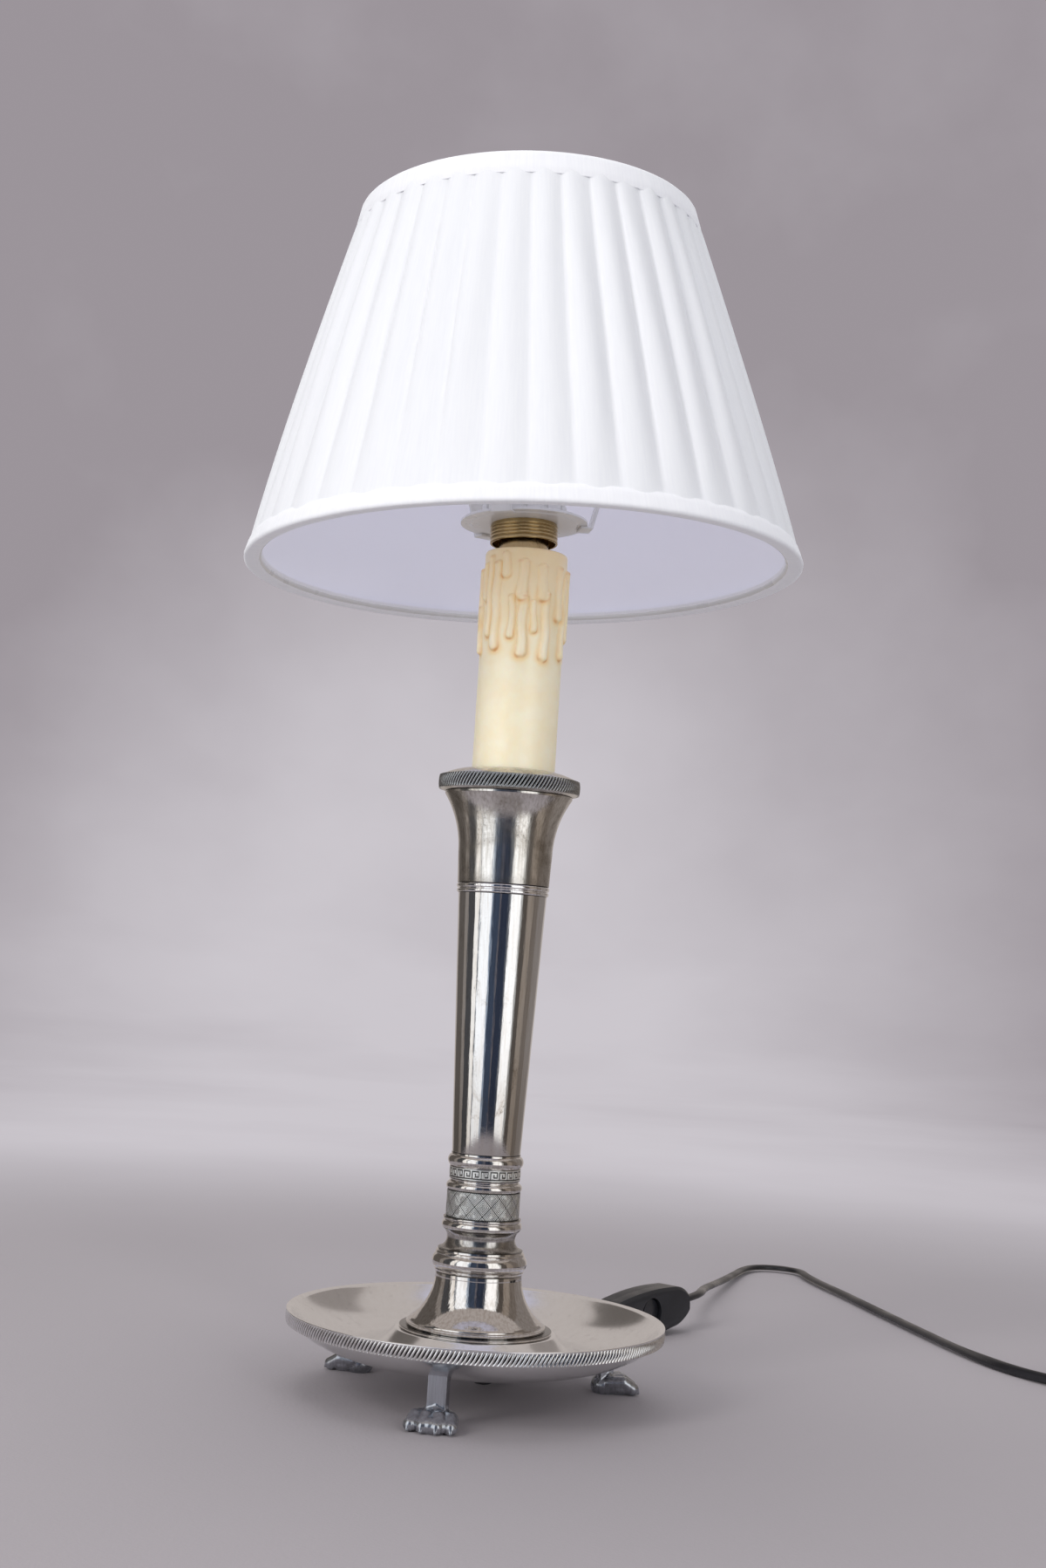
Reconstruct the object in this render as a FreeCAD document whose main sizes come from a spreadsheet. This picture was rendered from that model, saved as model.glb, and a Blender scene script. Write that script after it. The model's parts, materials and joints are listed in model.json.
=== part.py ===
import FreeCAD, Part
import math
import os
import re
import Sketcher

# A silver-plated candlestick table lamp: a fluted dish on three lion paws, a turned stem, a wax-dripped
# candle sleeve, a bayonet lampholder and a pleated shade. Millimetres and degrees, +Z up; the origin is
# on the floor, on the axis of the stem. Everything from the lampholder up leans a little.

SIZES = {
    # the dish and its feet
    "dish_clearance": 16.5,
    "dish_radius": 82.0,
    "dish_wall": 1.6,
    "dish_depth": 18.5,
    "dish_lip_height": 0.8,
    "dish_flat_radius": 50.0,
    "dish_hub_radius": 34.0,
    "dish_hub_rise": 10.4,
    "dish_belly": 2.2,
    "rim_band_height": 5.0,
    "rim_band_depth": 1.6,
    "rim_band_bulge": 0.3,
    "leg_circle_radius": 63.0,
    "leg_depth": 7.2,
    "leg_width": 8.6,
    "heel_radius": 6.6,
    "heel_lead": 1.0,
    "toe_radius": 2.9,
    "toe_tip_reach": 16.5,
    "toe_spread": 8.9,
    "toe_press": 0.4,
    "toe_root_share": 0.45,
    "knuckle_share": 0.72,
    "knuckle_height": 6.0,
    "front_foot_azimuth": -102.0,
    "right_foot_azimuth": 23.0,
    "left_foot_azimuth": 143.0,
    # the turned stem, from the dish up
    "stem_bore": 8.0,
    "step_radius": 33.1,
    "step_height": 1.2,
    "bell_base_radius": 30.2,
    "bell_lip_height": 1.7,
    "bell_shoulder_radius": 28.4,
    "bell_shoulder_height": 3.3,
    "bell_flare": 2.25,
    "bell_neck_radius": 18.8,
    "bell_curve_height": 21.3,
    "bell_height": 23.3,
    "knop_radius": 20.7,
    "knop_end_radius": 18.9,
    "knop_bead_height": 9.0,
    "knop_fillet_radius": 18.5,
    "knop_fillet_height": 1.0,
    "neck_foot_radius": 18.1,
    "neck_top_radius": 16.9,
    "neck_waist": 2.7,
    "neck_height": 8.5,
    "lower_bead_radius": 17.5,
    "lower_bead_edge": 16.8,
    "lower_bead_height": 5.0,
    "lozenge_radius": 16.0,
    "lozenge_height": 11.5,
    "middle_bead_radius": 16.5,
    "middle_bead_edge": 15.6,
    "middle_bead_height": 3.3,
    "cove_depth": 0.5,
    "cove_height": 1.7,
    "key_band_radius": 15.5,
    "key_band_height": 5.0,
    "upper_bead_radius": 16.5,
    "upper_fillet_height": 0.5,
    "upper_bead_height": 5.5,
    "column_foot_radius": 14.9,
    "column_top_radius": 19.5,
    "column_height": 112.7,
    "column_wall": 1.4,
    "cup_bead_radius": 20.7,
    "cup_bead_edge": 19.6,
    "cup_bead_height": 4.3,
    "cup_foot_radius": 20.2,
    "cup_side_radius": 20.8,
    "cup_side_height": 14.0,
    "cup_flare": 1.85,
    "cup_lip_radius": 28.2,
    "cup_lip_height": 1.0,
    "cup_height": 40.0,
    "cup_wall": 1.5,
    "pan_radius": 31.4,
    "pan_band_depth": 1.0,
    "pan_band_height": 6.0,
    "pan_taper_height": 1.0,
    "pan_crown_radius": 19.0,
    "pan_dome": 0.6,
    "pan_height": 10.5,
    "pan_wall": 1.4,
    # the candle sleeve
    "candle_offset": 1.3,
    "candle_radius": 18.45,
    "candle_wall": 1.6,
    "candle_height": 97.5,
    "candle_lip_round": 1.1,
    "drip_reach": 1.9,
    "drip_top_drop": 7.0,
    "seat_height": 4.0,
    # the threaded tube that clamps the stem
    "tube_radius": 5.0,
    "tube_bore": 4.0,
    "tube_rise": 86.5,
    "tube_tail": 0.5,
    "hole_clearance": 0.15,
    "washer_radius": 14.0,
    "washer_thickness": 1.6,
    "nut_radius": 8.7,
    "nut_height": 4.0,
    "locknut_height": 5.0,
    "locknut_drop": 4.0,
    "bush_flange_radius": 6.0,
    "bush_flange_height": 1.2,
    "bush_spigot_height": 4.0,
    "bush_wall": 0.95,
    "inner_flex_drop": 1.5,
    # the lampholder, measured along its leaning axis from the pivot
    "lean_left": 2.59,
    "lean_back": 1.47,
    "pivot_rise": 7.0,
    "cap_drop": 10.5,
    "cap_bore": 5.7,
    "cap_foot_radius": 9.0,
    "cap_radius": 11.0,
    "cap_taper_height": 3.0,
    "cap_wall": 1.2,
    "cap_floor": 4.2,
    "barrel_rise": 14.0,
    "barrel_radius": 14.0,
    "barrel_bore": 11.4,
    "barrel_length": 32.0,
    "barrel_floor": 1.5,
    "slot_width": 2.6,
    "slot_floor_rise": 14.3,
    "slot_run_height": 2.8,
    "slot_notch_height": 5.3,
    "slot_turn": 3.9,
    "slot_overrun": 2.0,
    "insulator_head_height": 6.0,
    "insulator_stem_radius": 9.0,
    "insulator_stem_length": 16.5,
    "plunger_radius": 2.0,
    "plunger_length": 12.0,
    "plunger_spacing": 5.5,
    "plunger_clearance": 0.3,
    "plunger_travel": 2.5,
    "thread_clearance": 0.25,
    "collar_radius": 15.2,
    "collar_height": 8.8,
    "collar_band_height": 1.7,
    "collar_groove_depth": 0.4,
    "collar_groove_pitch": 1.3,
    "collar_groove_slope": 0.3,
    "collar_ridge_rise": 0.9,
    "collar_ridge_draw": 0.05,
    "collar_neck_rise": 0.6,
    "collar_neck_draw": 0.2,
    "collar_seat_gap": 0.1,
    "disc_radius": 28.5,
    "disc_step_radius": 24.15,
    "disc_step": 0.3,
    "disc_thickness": 1.5,
    "disc_clearance": 0.5,
    "ring_radius": 19.0,
    "ring_height": 6.5,
    "ring_slot_width": 2.0,
    "ring_slot_depth": 1.2,
    "ring_slot_count": 12,
    "ring_play": 0.1,
    # the bulb
    "bulb_seat_rise": 25.5,
    "bulb_cap_radius": 11.0,
    "bulb_cap_height": 26.0,
    "bulb_cap_wall": 0.8,
    "bulb_cap_floor": 2.0,
    "bulb_cap_edge": 1.0,
    "bulb_pin_radius": 1.0,
    "bulb_pin_reach": 13.4,
    "bulb_pin_rise": 6.7,
    "bulb_radius": 30.0,
    "bulb_length": 105.0,
    "glass_wall": 0.9,
    "glass_overlap": 5.5,
    "glass_neck_lap": 0.5,
    "glass_throat_share": 0.46,
    "glass_throat_rise": 6.0,
    "glass_throat_waist": 0.3,
    "glass_side_share": 0.74,
    "glass_side_rise_share": 0.48,
    "glass_swell_share": 0.08,
    # the shade, measured from its bottom edge
    "shade_drop": 3.6,
    "shade_height": 163.1,
    "shade_bottom_radius": 124.7,
    "shade_top_radius": 76.6,
    "pleat_count": 40,
    "pleat_depth": 2.2,
    "pleat_root": 0.7,
    "liner_thickness": 0.8,
    "tape_thickness": 0.8,
    "bottom_tape_height": 8.5,
    "top_tape_height": 10.5,
    "tape_return": 4.2,
    "wire_radius": 1.6,
    "wire_clearance": 0.1,
    "arm_width": 9.5,
    "arm_thickness": 1.2,
    "arm_lap": 3.5,
    "arm_bend_gap": 1.2,
    "front_arm_azimuth": -110.0,
    "right_arm_azimuth": 10.0,
    "left_arm_azimuth": 128.0,
    # the switch on the cord
    "switch_half_length": 34.0,
    "switch_end_half": 3.6,
    "switch_shoulder": 21.0,
    "switch_shoulder_half": 10.2,
    "switch_crown": 1.3,
    "switch_corner": 1.6,
    "switch_half_thickness": 7.5,
    "switch_wall": 1.6,
    "switch_edge": 1.5,
    "switch_end_draw": 0.7,
    "switch_shoulder_draw": 0.4,
    "bore_overrun": 0.3,
    "recess_radius": 8.0,
    "recess_wall": 1.4,
    "rocker_clearance": 0.7,
    "rocker_outer": 3.1,
    "rocker_inner": 2.2,
    "rocker_depth": 3.2,
    "rocker_pin_radius": 1.2,
    "rocker_pin_reach": 9.2,
    "rocker_lean": 8.0,
    "pin_clearance": 0.25,
    "screw_place": 26.5,
    "screw_radius": 1.2,
    "screw_head_radius": 2.2,
    "screw_head_height": 1.5,
    "screw_bite": 4.5,
    "boss_radius": 2.6,
    "ear_inner": 2.6,
    "ear_width": 1.2,
    "ear_half_length": 2.0,
    "lever_depth": 3.2,
    "lever_half_length": 7.0,
    "lever_half_width": 2.2,
    "lever_thickness": 0.8,
    "lever_hub_radius": 1.3,
    "lever_pin_radius": 0.8,
    "lever_pin_reach": 4.0,
    "terminal_place": 16.0,
    "terminal_length": 7.0,
    "terminal_depth": 4.0,
    "terminal_width": 6.0,
    "switch_place_x": 84.5,
    "switch_place_y": 166.0,
    "switch_place_z": 12.4,
    "switch_heading": 48.0,
    "switch_climb": 5.0,
    # the flex, its coil and the plug
    "flex_radius": 2.6,
    "flex_rest": 2.7,
    "coil_centre_x": 325.0,
    "coil_centre_y": 103.0,
    "coil_lift": 0.9,
    "coil_middle_radius": 28.5,
    "coil_pitch": 5.8,
    "coil_turns": 5,
    "coil_start_angle": 225.0,
    "tie_thickness": 0.8,
    "tie_width": 9.0,
    "tie_clearance": 0.9,
    "tie_play": 0.05,
    "tie_azimuth": 100.0,
    "lead_length": 20.0,
    "plug_half_thickness": 6.85,
    "plug_half_width": 17.6,
    "plug_length": 37.0,
    "plug_neck_share": 0.2,
    "plug_neck_flare": 1.5,
    "plug_shoulder_share": 0.42,
    "plug_shoulder_width_share": 0.9,
    "plug_waist_share": 0.58,
    "plug_face_width_share": 0.95,
    "relief_length": 22.0,
    "relief_end_radius": 3.3,
    "relief_root_radius": 4.6,
    "relief_lap_share": 0.15,
    "plug_pin_radius": 2.0,
    "plug_pin_length": 19.0,
    "plug_pin_spacing": 9.3,
}

document = FreeCAD.newDocument("candlestick_lamp")
sheet = document.addObject("Spreadsheet::Sheet", "sizes")
for row, (alias, size) in enumerate(SIZES.items(), start=1):
    sheet.set(f"A{row}", alias)
    sheet.set(f"B{row}", str(size))
    sheet.setAlias(f"B{row}", alias)
document.recompute()

NODES = []


def size(text):
    """The number that an expression of the sheet's names comes to."""
    return float(sheet.evalExpression(str(text)))


def bound(text):
    """The same expression, as another object of the document writes it."""
    def spelled(word):
        return ("sizes." if word.group() in SIZES else "") + word.group()
    return re.sub(r"[a-z_]+", spelled, str(text))


def tie(thing, target, text):
    thing.setExpression(target, bound(text))


def kept(thing, label):
    """Name a finished sub-part; it becomes one node."""
    thing.Label = label
    NODES.append(thing)
    return thing


# Places --------------------------------------------------------------------------------------------

DISH_TOP = "dish_clearance + dish_hub_rise + dish_wall"
BELL_FOOT = DISH_TOP + " + step_height"
KNOP_FOOT = BELL_FOOT + " + bell_height"
NECK_FOOT = KNOP_FOOT + " + knop_bead_height + knop_fillet_height"
LOWER_BEAD_FOOT = NECK_FOOT + " + neck_height"
LOZENGE_FOOT = LOWER_BEAD_FOOT + " + lower_bead_height"
MIDDLE_BEAD_FOOT = LOZENGE_FOOT + " + lozenge_height"
KEY_FOOT = MIDDLE_BEAD_FOOT + " + middle_bead_height + cove_height"
UPPER_BEAD_FOOT = KEY_FOOT + " + key_band_height"
COLUMN_FOOT = UPPER_BEAD_FOOT + " + upper_fillet_height + upper_bead_height"
CUP_BEAD_FOOT = COLUMN_FOOT + " + column_height"
CUP_FOOT = CUP_BEAD_FOOT + " + cup_bead_height"
PAN_FOOT = CUP_FOOT + " + cup_height"
PAN_TOP = PAN_FOOT + " + pan_height"
TUBE_TOP = PAN_TOP + " + tube_rise"
TUBE_FOOT = "dish_clearance + dish_hub_rise - washer_thickness - nut_height - tube_tail"
BAND_FOOT = "dish_clearance + dish_depth - dish_lip_height - rim_band_height"

pivot = FreeCAD.Vector(0, 0, size(TUBE_TOP + " + pivot_rise"))
lean_axis = FreeCAD.Vector(-size("tan(lean_left)"), size("tan(lean_back)"), 1)
lean_axis.normalize()
LEAN = FreeCAD.Placement(pivot, FreeCAD.Rotation(FreeCAD.Vector(0, 0, 1), lean_axis))
print("pivot", tuple(pivot), "leaning axis", [round(part, 6) for part in lean_axis])


def shift(x=0.0, y=0.0, z=0.0):
    return FreeCAD.Placement(FreeCAD.Vector(x, y, z), FreeCAD.Rotation())


def turn(axis, angle):
    return FreeCAD.Placement(FreeCAD.Vector(), FreeCAD.Rotation(FreeCAD.Vector(*axis), angle))


def leaning(rise, azimuth=0.0):
    """A place on the lampholder's leaning axis, this far above the pivot."""
    return LEAN * shift(z=size(rise)) * turn((0, 0, 1), azimuth)


# Sketched pieces -----------------------------------------------------------------------------------

def draw_outline(sketch, outline):
    """Closed outline of (across, up, bulge) texts; the edge that follows a point bows out by its bulge."""
    places = [FreeCAD.Vector(size(across), size(up), 0) for across, up, bulge in outline]
    count = len(outline)
    first = sketch.GeometryCount
    ends = []
    for index, (across, up, bulge) in enumerate(outline):
        start = places[index]
        end = places[(index + 1) % count]
        bow = size(bulge)
        if abs(bow) < 1e-9:
            sketch.addGeometry(Part.LineSegment(start, end), False)
            ends.append((1, 2))
            continue
        chord = end - start
        outwards = FreeCAD.Vector(chord.y, -chord.x, 0).normalize()
        radius = chord.Length ** 2 / (8 * abs(bow)) + abs(bow) / 2
        centre = (start + end) / 2 + outwards * (bow - math.copysign(radius, bow))
        tail, head = (start, end) if bow > 0 else (end, start)
        begin = math.atan2(tail.y - centre.y, tail.x - centre.x)
        finish = math.atan2(head.y - centre.y, head.x - centre.x)
        if finish < begin:
            finish += 2 * math.pi
        circle = Part.Circle(centre, FreeCAD.Vector(0, 0, 1), radius)
        sketch.addGeometry(Part.ArcOfCircle(circle, begin, finish), False)
        ends.append((1, 2) if bow > 0 else (2, 1))
    for index in range(count):
        following = (index + 1) % count
        sketch.addConstraint(Sketcher.Constraint("Coincident", first + index, ends[index][1],
                                                 first + following, ends[following][0]))
    for index, (across, up, bulge) in enumerate(outline):
        point = (first + index, ends[index][0])
        place = places[index]
        for kind, axis, text, here in (("DistanceX", -2, across, place.x), ("DistanceY", -1, up, place.y)):
            if str(text) == "0":
                sketch.addConstraint(Sketcher.Constraint("PointOnObject", *point, axis))
                continue
            number = sketch.addConstraint(Sketcher.Constraint(kind, -1, 1, *point, here))
            tie(sketch, f"Constraints[{number}]", text)
    for index, (across, up, bulge) in enumerate(outline):
        if abs(size(bulge)) < 1e-9:
            continue
        following = outline[(index + 1) % count]
        sign = "" if size(bulge) > 0 else "-"
        run = f"(({following[0]}) - ({across}))^2 + (({following[1]}) - ({up}))^2"
        bow = f"({sign}({bulge}))"
        drawn = sketch.Geometry[first + index].Radius
        number = sketch.addConstraint(Sketcher.Constraint("Radius", first + index, drawn))
        tie(sketch, f"Constraints[{number}]", f"({run}) / (8 * {bow}) + {bow} / 2")


def draw_circle(sketch, across, up, radius):
    place = FreeCAD.Vector(size(across), size(up), 0)
    first = sketch.GeometryCount
    sketch.addGeometry(Part.Circle(place, FreeCAD.Vector(0, 0, 1), size(radius)), False)
    for kind, axis, text, here in (("DistanceX", -2, across, place.x), ("DistanceY", -1, up, place.y)):
        if str(text) == "0":
            sketch.addConstraint(Sketcher.Constraint("PointOnObject", first, 3, axis))
            continue
        number = sketch.addConstraint(Sketcher.Constraint(kind, -1, 1, first, 3, here))
        tie(sketch, f"Constraints[{number}]", text)
    number = sketch.addConstraint(Sketcher.Constraint("Radius", first, size(radius)))
    tie(sketch, f"Constraints[{number}]", radius)


def new_sketch(body, plane, name="outline"):
    sketch = body.newObject("Sketcher::SketchObject", name)
    origin = [feature for feature in body.Origin.OriginFeatures if feature.Role == plane][0]
    sketch.AttachmentSupport = [(origin, "")]
    sketch.MapMode = "FlatFace"
    return sketch


def turned(name, outline):
    """A turned piece: its half section, in radius and height, goes round the vertical axis."""
    body = document.addObject("PartDesign::Body", name)
    sketch = new_sketch(body, "XZ_Plane", "section")
    draw_outline(sketch, outline)
    revolution = body.newObject("PartDesign::Revolution", "revolution")
    revolution.Profile = sketch
    revolution.ReferenceAxis = (sketch, ["V_Axis"])
    revolution.Angle = 360
    return body


def stacked(body, foot):
    """Stand a piece on the stem, at a height that follows the pieces under it."""
    tie(body, "Placement.Base.z", foot)
    return body


def add_pad(body, sketch, length, both_ways=False, backwards=False):
    pad = body.newObject("PartDesign::Pad", "pad")
    pad.Profile = sketch
    tie(pad, "Length", length)
    pad.Midplane = both_ways
    pad.Reversed = backwards
    return pad


def add_pocket(body, sketch, length, both_ways=False, backwards=False):
    pocket = body.newObject("PartDesign::Pocket", "pocket")
    pocket.Profile = sketch
    tie(pocket, "Length", length)
    pocket.Midplane = both_ways
    pocket.Reversed = backwards
    document.recompute()
    return pocket


def plain_ring(inner, outer, height, bulge="0"):
    return [(inner, "0", "0"), (outer, "0", bulge), (outer, height, "0"), (inner, height, "0")]


# Primitives ----------------------------------------------------------------------------------------

def cylinder(name, radius, height, place=None):
    piece = document.addObject("Part::Cylinder", name)
    tie(piece, "Radius", radius)
    tie(piece, "Height", height)
    if place:
        piece.Placement = place
    return piece


def block(name, corner, length, width, height):
    piece = document.addObject("Part::Box", name)
    for side, text in (("Length", length), ("Width", width), ("Height", height)):
        tie(piece, side, text)
    for letter, text in zip("xyz", corner):
        tie(piece, f"Placement.Base.{letter}", text)
    return piece


def joined(name, pieces):
    fuse = document.addObject("Part::MultiFuse", name)
    fuse.Shapes = pieces
    return fuse


def cut_away(name, base, tool):
    cut = document.addObject("Part::Cut", name)
    cut.Base = base
    cut.Tool = tool
    return cut


def shaped(name, shape, place=None):
    piece = document.addObject("Part::Feature", name)
    piece.Shape = shape
    if place:
        piece.Placement = place
    return kept(piece, name)


# The dish ------------------------------------------------------------------------------------------

TUBE_HOLE = "tube_radius + hole_clearance"
BAND_INNER = "dish_radius - rim_band_depth"
BAND_LOW = "dish_depth - dish_lip_height - rim_band_height"

dish = stacked(turned("dish", [
    (TUBE_HOLE, "dish_hub_rise", "0"),
    ("dish_hub_radius", "dish_hub_rise", "0"),
    ("dish_flat_radius", "0", "dish_belly"),
    (BAND_INNER, BAND_LOW, "0"),
    (BAND_INNER, "dish_depth - dish_lip_height", "0"),
    ("dish_radius", "dish_depth - dish_lip_height", "0"),
    ("dish_radius", "dish_depth", "0"),
    (BAND_INNER + " - dish_wall", "dish_depth", "0"),
    (BAND_INNER + " - dish_wall", BAND_LOW + " + dish_wall / 2", "-dish_belly"),
    ("dish_flat_radius + dish_wall / 2", "dish_wall", "0"),
    ("dish_hub_radius + dish_wall / 2", "dish_hub_rise + dish_wall", "0"),
    (TUBE_HOLE, "dish_hub_rise + dish_wall", "0")]), "dish_clearance")
kept(dish, "dish")

rim_band = turned("dish_rim_band", plain_ring(
    BAND_INNER, "dish_radius - rim_band_bulge", "rim_band_height", "rim_band_bulge"))
kept(stacked(rim_band, BAND_FOOT), "dish_rim_band")


def capsule(start, end, radius):
    """A round-ended rod between two points."""
    along = end - start
    slant = radius * math.sqrt(0.5)
    low = FreeCAD.Vector(0, 0, -radius)
    low_side = FreeCAD.Vector(radius, 0, 0)
    high_side = FreeCAD.Vector(radius, 0, along.Length)
    high = FreeCAD.Vector(0, 0, along.Length + radius)
    half = [Part.Arc(low, FreeCAD.Vector(slant, 0, -slant), low_side).toShape(),
            Part.makeLine(low_side, high_side),
            Part.Arc(high_side, FreeCAD.Vector(slant, 0, along.Length + slant), high).toShape(),
            Part.makeLine(high, low)]
    rod = Part.Face(Part.Wire(half)).revolve(FreeCAD.Vector(), FreeCAD.Vector(0, 0, 1), 360)
    rod.Placement = FreeCAD.Placement(start, FreeCAD.Rotation(FreeCAD.Vector(0, 0, 1), along))
    return rod


def lion_foot(dish_shape):
    """A flat leg that ends in a paw of four toes, cut level at the floor and to the dish above."""
    radius = size("toe_radius")
    leg_middle = size("leg_circle_radius")
    leg_foot = size("heel_radius / 2")
    leg_corner = FreeCAD.Vector(leg_middle - size("leg_depth / 2"), -size("leg_width / 2"), leg_foot)
    leg_top = size("dish_clearance + dish_depth")
    leg = Part.makeBox(size("leg_depth"), size("leg_width"), leg_top - leg_foot, leg_corner)
    heel_middle = leg_middle + size("heel_lead")
    pieces = [Part.makeSphere(size("heel_radius"), FreeCAD.Vector(heel_middle, 0, leg_foot))]
    for step in (-1.0, -1.0 / 3, 1.0 / 3, 1.0):
        spread = step * size("toe_spread")
        reach = leg_middle + size("toe_tip_reach") - radius - abs(step) * radius / 2
        tip = FreeCAD.Vector(reach, spread, radius - size("toe_press"))
        root = FreeCAD.Vector(heel_middle, size("toe_root_share") * spread, leg_foot)
        knuckle = FreeCAD.Vector(leg_middle + size("toe_tip_reach / 2"), size("knuckle_share") * spread,
                                 size("knuckle_height"))
        pieces.append(capsule(knuckle, tip, radius))
        pieces.append(capsule(root, knuckle, radius))
    under_floor = Part.makeCylinder(size("dish_radius"), leg_top, FreeCAD.Vector(0, 0, -leg_top))
    cut_pieces = leg.fuse(pieces).cut(under_floor).cut(dish_shape).removeSplitter().Solids
    return min(cut_pieces, key=lambda solid: solid.BoundBox.ZMin)


document.recompute()
foot_shape = lion_foot(dish.Shape)
print("foot volume", round(foot_shape.Volume), "top", round(foot_shape.BoundBox.ZMax, 2))
for side in ("front", "right", "left"):
    shaped(side + "_foot", foot_shape, turn((0, 0, 1), size(side + "_foot_azimuth")))

# The stem ------------------------------------------------------------------------------------------

kept(stacked(turned("step_ring", plain_ring(
    TUBE_HOLE, "step_radius", "step_height")), DISH_TOP), "step_ring")

kept(stacked(turned("bell_foot", [
    ("stem_bore", "0", "0"),
    ("bell_base_radius", "0", "0"),
    ("bell_base_radius", "bell_lip_height", "0"),
    ("bell_shoulder_radius", "bell_shoulder_height", "-bell_flare"),
    ("bell_neck_radius", "bell_curve_height", "0"),
    ("bell_neck_radius", "bell_height", "0"),
    ("stem_bore", "bell_height", "0")]), BELL_FOOT), "bell_foot")

kept(stacked(turned("knop", [
    ("stem_bore", "0", "0"),
    ("knop_end_radius", "0", "knop_radius - knop_end_radius"),
    ("knop_end_radius", "knop_bead_height", "0"),
    ("knop_fillet_radius", "knop_bead_height", "0"),
    ("knop_fillet_radius", "knop_bead_height + knop_fillet_height", "0"),
    ("stem_bore", "knop_bead_height + knop_fillet_height", "0")]), KNOP_FOOT), "knop")

kept(stacked(turned("stem_neck", [
    ("stem_bore", "0", "0"),
    ("neck_foot_radius", "0", "-neck_waist"),
    ("neck_top_radius", "neck_height", "0"),
    ("stem_bore", "neck_height", "0")]), NECK_FOOT), "stem_neck")

kept(stacked(turned("lower_bead", plain_ring(
    "stem_bore", "lower_bead_edge", "lower_bead_height", "lower_bead_radius - lower_bead_edge")),
    LOWER_BEAD_FOOT), "lower_bead")
kept(stacked(turned("lozenge_band", plain_ring("stem_bore", "lozenge_radius", "lozenge_height")),
             LOZENGE_FOOT), "lozenge_band")

kept(stacked(turned("middle_bead", [
    ("stem_bore", "0", "0"),
    ("middle_bead_edge", "0", "middle_bead_radius - middle_bead_edge"),
    ("middle_bead_edge", "middle_bead_height", "-cove_depth"),
    ("key_band_radius", "middle_bead_height + cove_height", "0"),
    ("stem_bore", "middle_bead_height + cove_height", "0")]), MIDDLE_BEAD_FOOT), "middle_bead")
kept(stacked(turned("key_band", plain_ring(
    "stem_bore", "key_band_radius", "key_band_height")), KEY_FOOT), "key_band")

kept(stacked(turned("upper_bead", [
    ("stem_bore", "0", "0"),
    ("key_band_radius", "0", "0"),
    ("key_band_radius", "upper_fillet_height", "upper_bead_radius - key_band_radius"),
    ("key_band_radius", "upper_fillet_height + upper_bead_height", "0"),
    ("stem_bore", "upper_fillet_height + upper_bead_height", "0")]), UPPER_BEAD_FOOT), "upper_bead")

kept(stacked(turned("column", [
    ("column_foot_radius - column_wall", "0", "0"),
    ("column_foot_radius", "0", "0"),
    ("column_top_radius", "column_height", "0"),
    ("column_top_radius - column_wall", "column_height", "0")]), COLUMN_FOOT), "column")

kept(stacked(turned("cup_bead", plain_ring(
    TUBE_HOLE, "cup_bead_edge", "cup_bead_height", "cup_bead_radius - cup_bead_edge")),
    CUP_BEAD_FOOT), "cup_bead")

kept(stacked(turned("cup", [
    (TUBE_HOLE, "0", "0"),
    ("cup_foot_radius", "0", "0"),
    ("cup_side_radius", "cup_side_height", "-cup_flare"),
    ("cup_lip_radius", "cup_height - cup_lip_height", "0"),
    ("cup_lip_radius", "cup_height", "0"),
    ("cup_lip_radius - cup_wall", "cup_height", "0"),
    ("cup_lip_radius - cup_wall", "cup_height - cup_lip_height", "cup_flare"),
    ("cup_side_radius - cup_wall", "cup_side_height", "0"),
    ("cup_foot_radius - cup_wall", "cup_wall", "0"),
    (TUBE_HOLE, "cup_wall", "0")]), CUP_FOOT), "cup")

PAN_SIDE = "pan_radius - pan_band_depth"
kept(stacked(turned("drip_pan", [
    ("cup_lip_radius - cup_wall", "0", "0"),
    ("cup_lip_radius", "0", "0"),
    (PAN_SIDE, "pan_taper_height", "0"),
    (PAN_SIDE, "pan_taper_height + pan_band_height", "pan_dome"),
    ("pan_crown_radius", "pan_height", "0"),
    (TUBE_HOLE, "pan_height", "0"),
    (TUBE_HOLE, "pan_height - pan_wall", "0"),
    ("pan_crown_radius - pan_wall / 2", "pan_height - pan_wall", "-pan_dome"),
    (PAN_SIDE + " - pan_wall", "pan_taper_height + pan_band_height - pan_wall / 2", "0"),
    (PAN_SIDE + " - pan_wall", "pan_taper_height + pan_wall / 2", "0")]), PAN_FOOT), "drip_pan")
kept(stacked(turned("pan_rim_band", plain_ring(
    PAN_SIDE, "pan_radius - rim_band_bulge", "pan_band_height", "rim_band_bulge")),
    PAN_FOOT + " + pan_taper_height"), "pan_rim_band")

# The tube that clamps the stem ---------------------------------------------------------------------

kept(stacked(turned("centre_tube", plain_ring(
    "tube_bore", "tube_radius", f"({TUBE_TOP}) - ({TUBE_FOOT})")), TUBE_FOOT), "centre_tube")
kept(stacked(turned("base_washer", plain_ring(TUBE_HOLE, "washer_radius", "washer_thickness")),
             TUBE_FOOT + " + tube_tail + nut_height"), "base_washer")


def hexagon_nut(name, height, foot):
    hexagon = document.addObject("Part::Prism", name + "_hexagon")
    hexagon.Polygon = 6
    tie(hexagon, "Circumradius", "nut_radius")
    tie(hexagon, "Height", height)
    nut = cut_away(name, hexagon, cylinder(name + "_hole", TUBE_HOLE, height))
    kept(stacked(nut, foot), name)


hexagon_nut("base_nut", "nut_height", TUBE_FOOT + " + tube_tail")
hexagon_nut("holder_locknut", "locknut_height", TUBE_TOP + " - locknut_drop - locknut_height")

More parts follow.
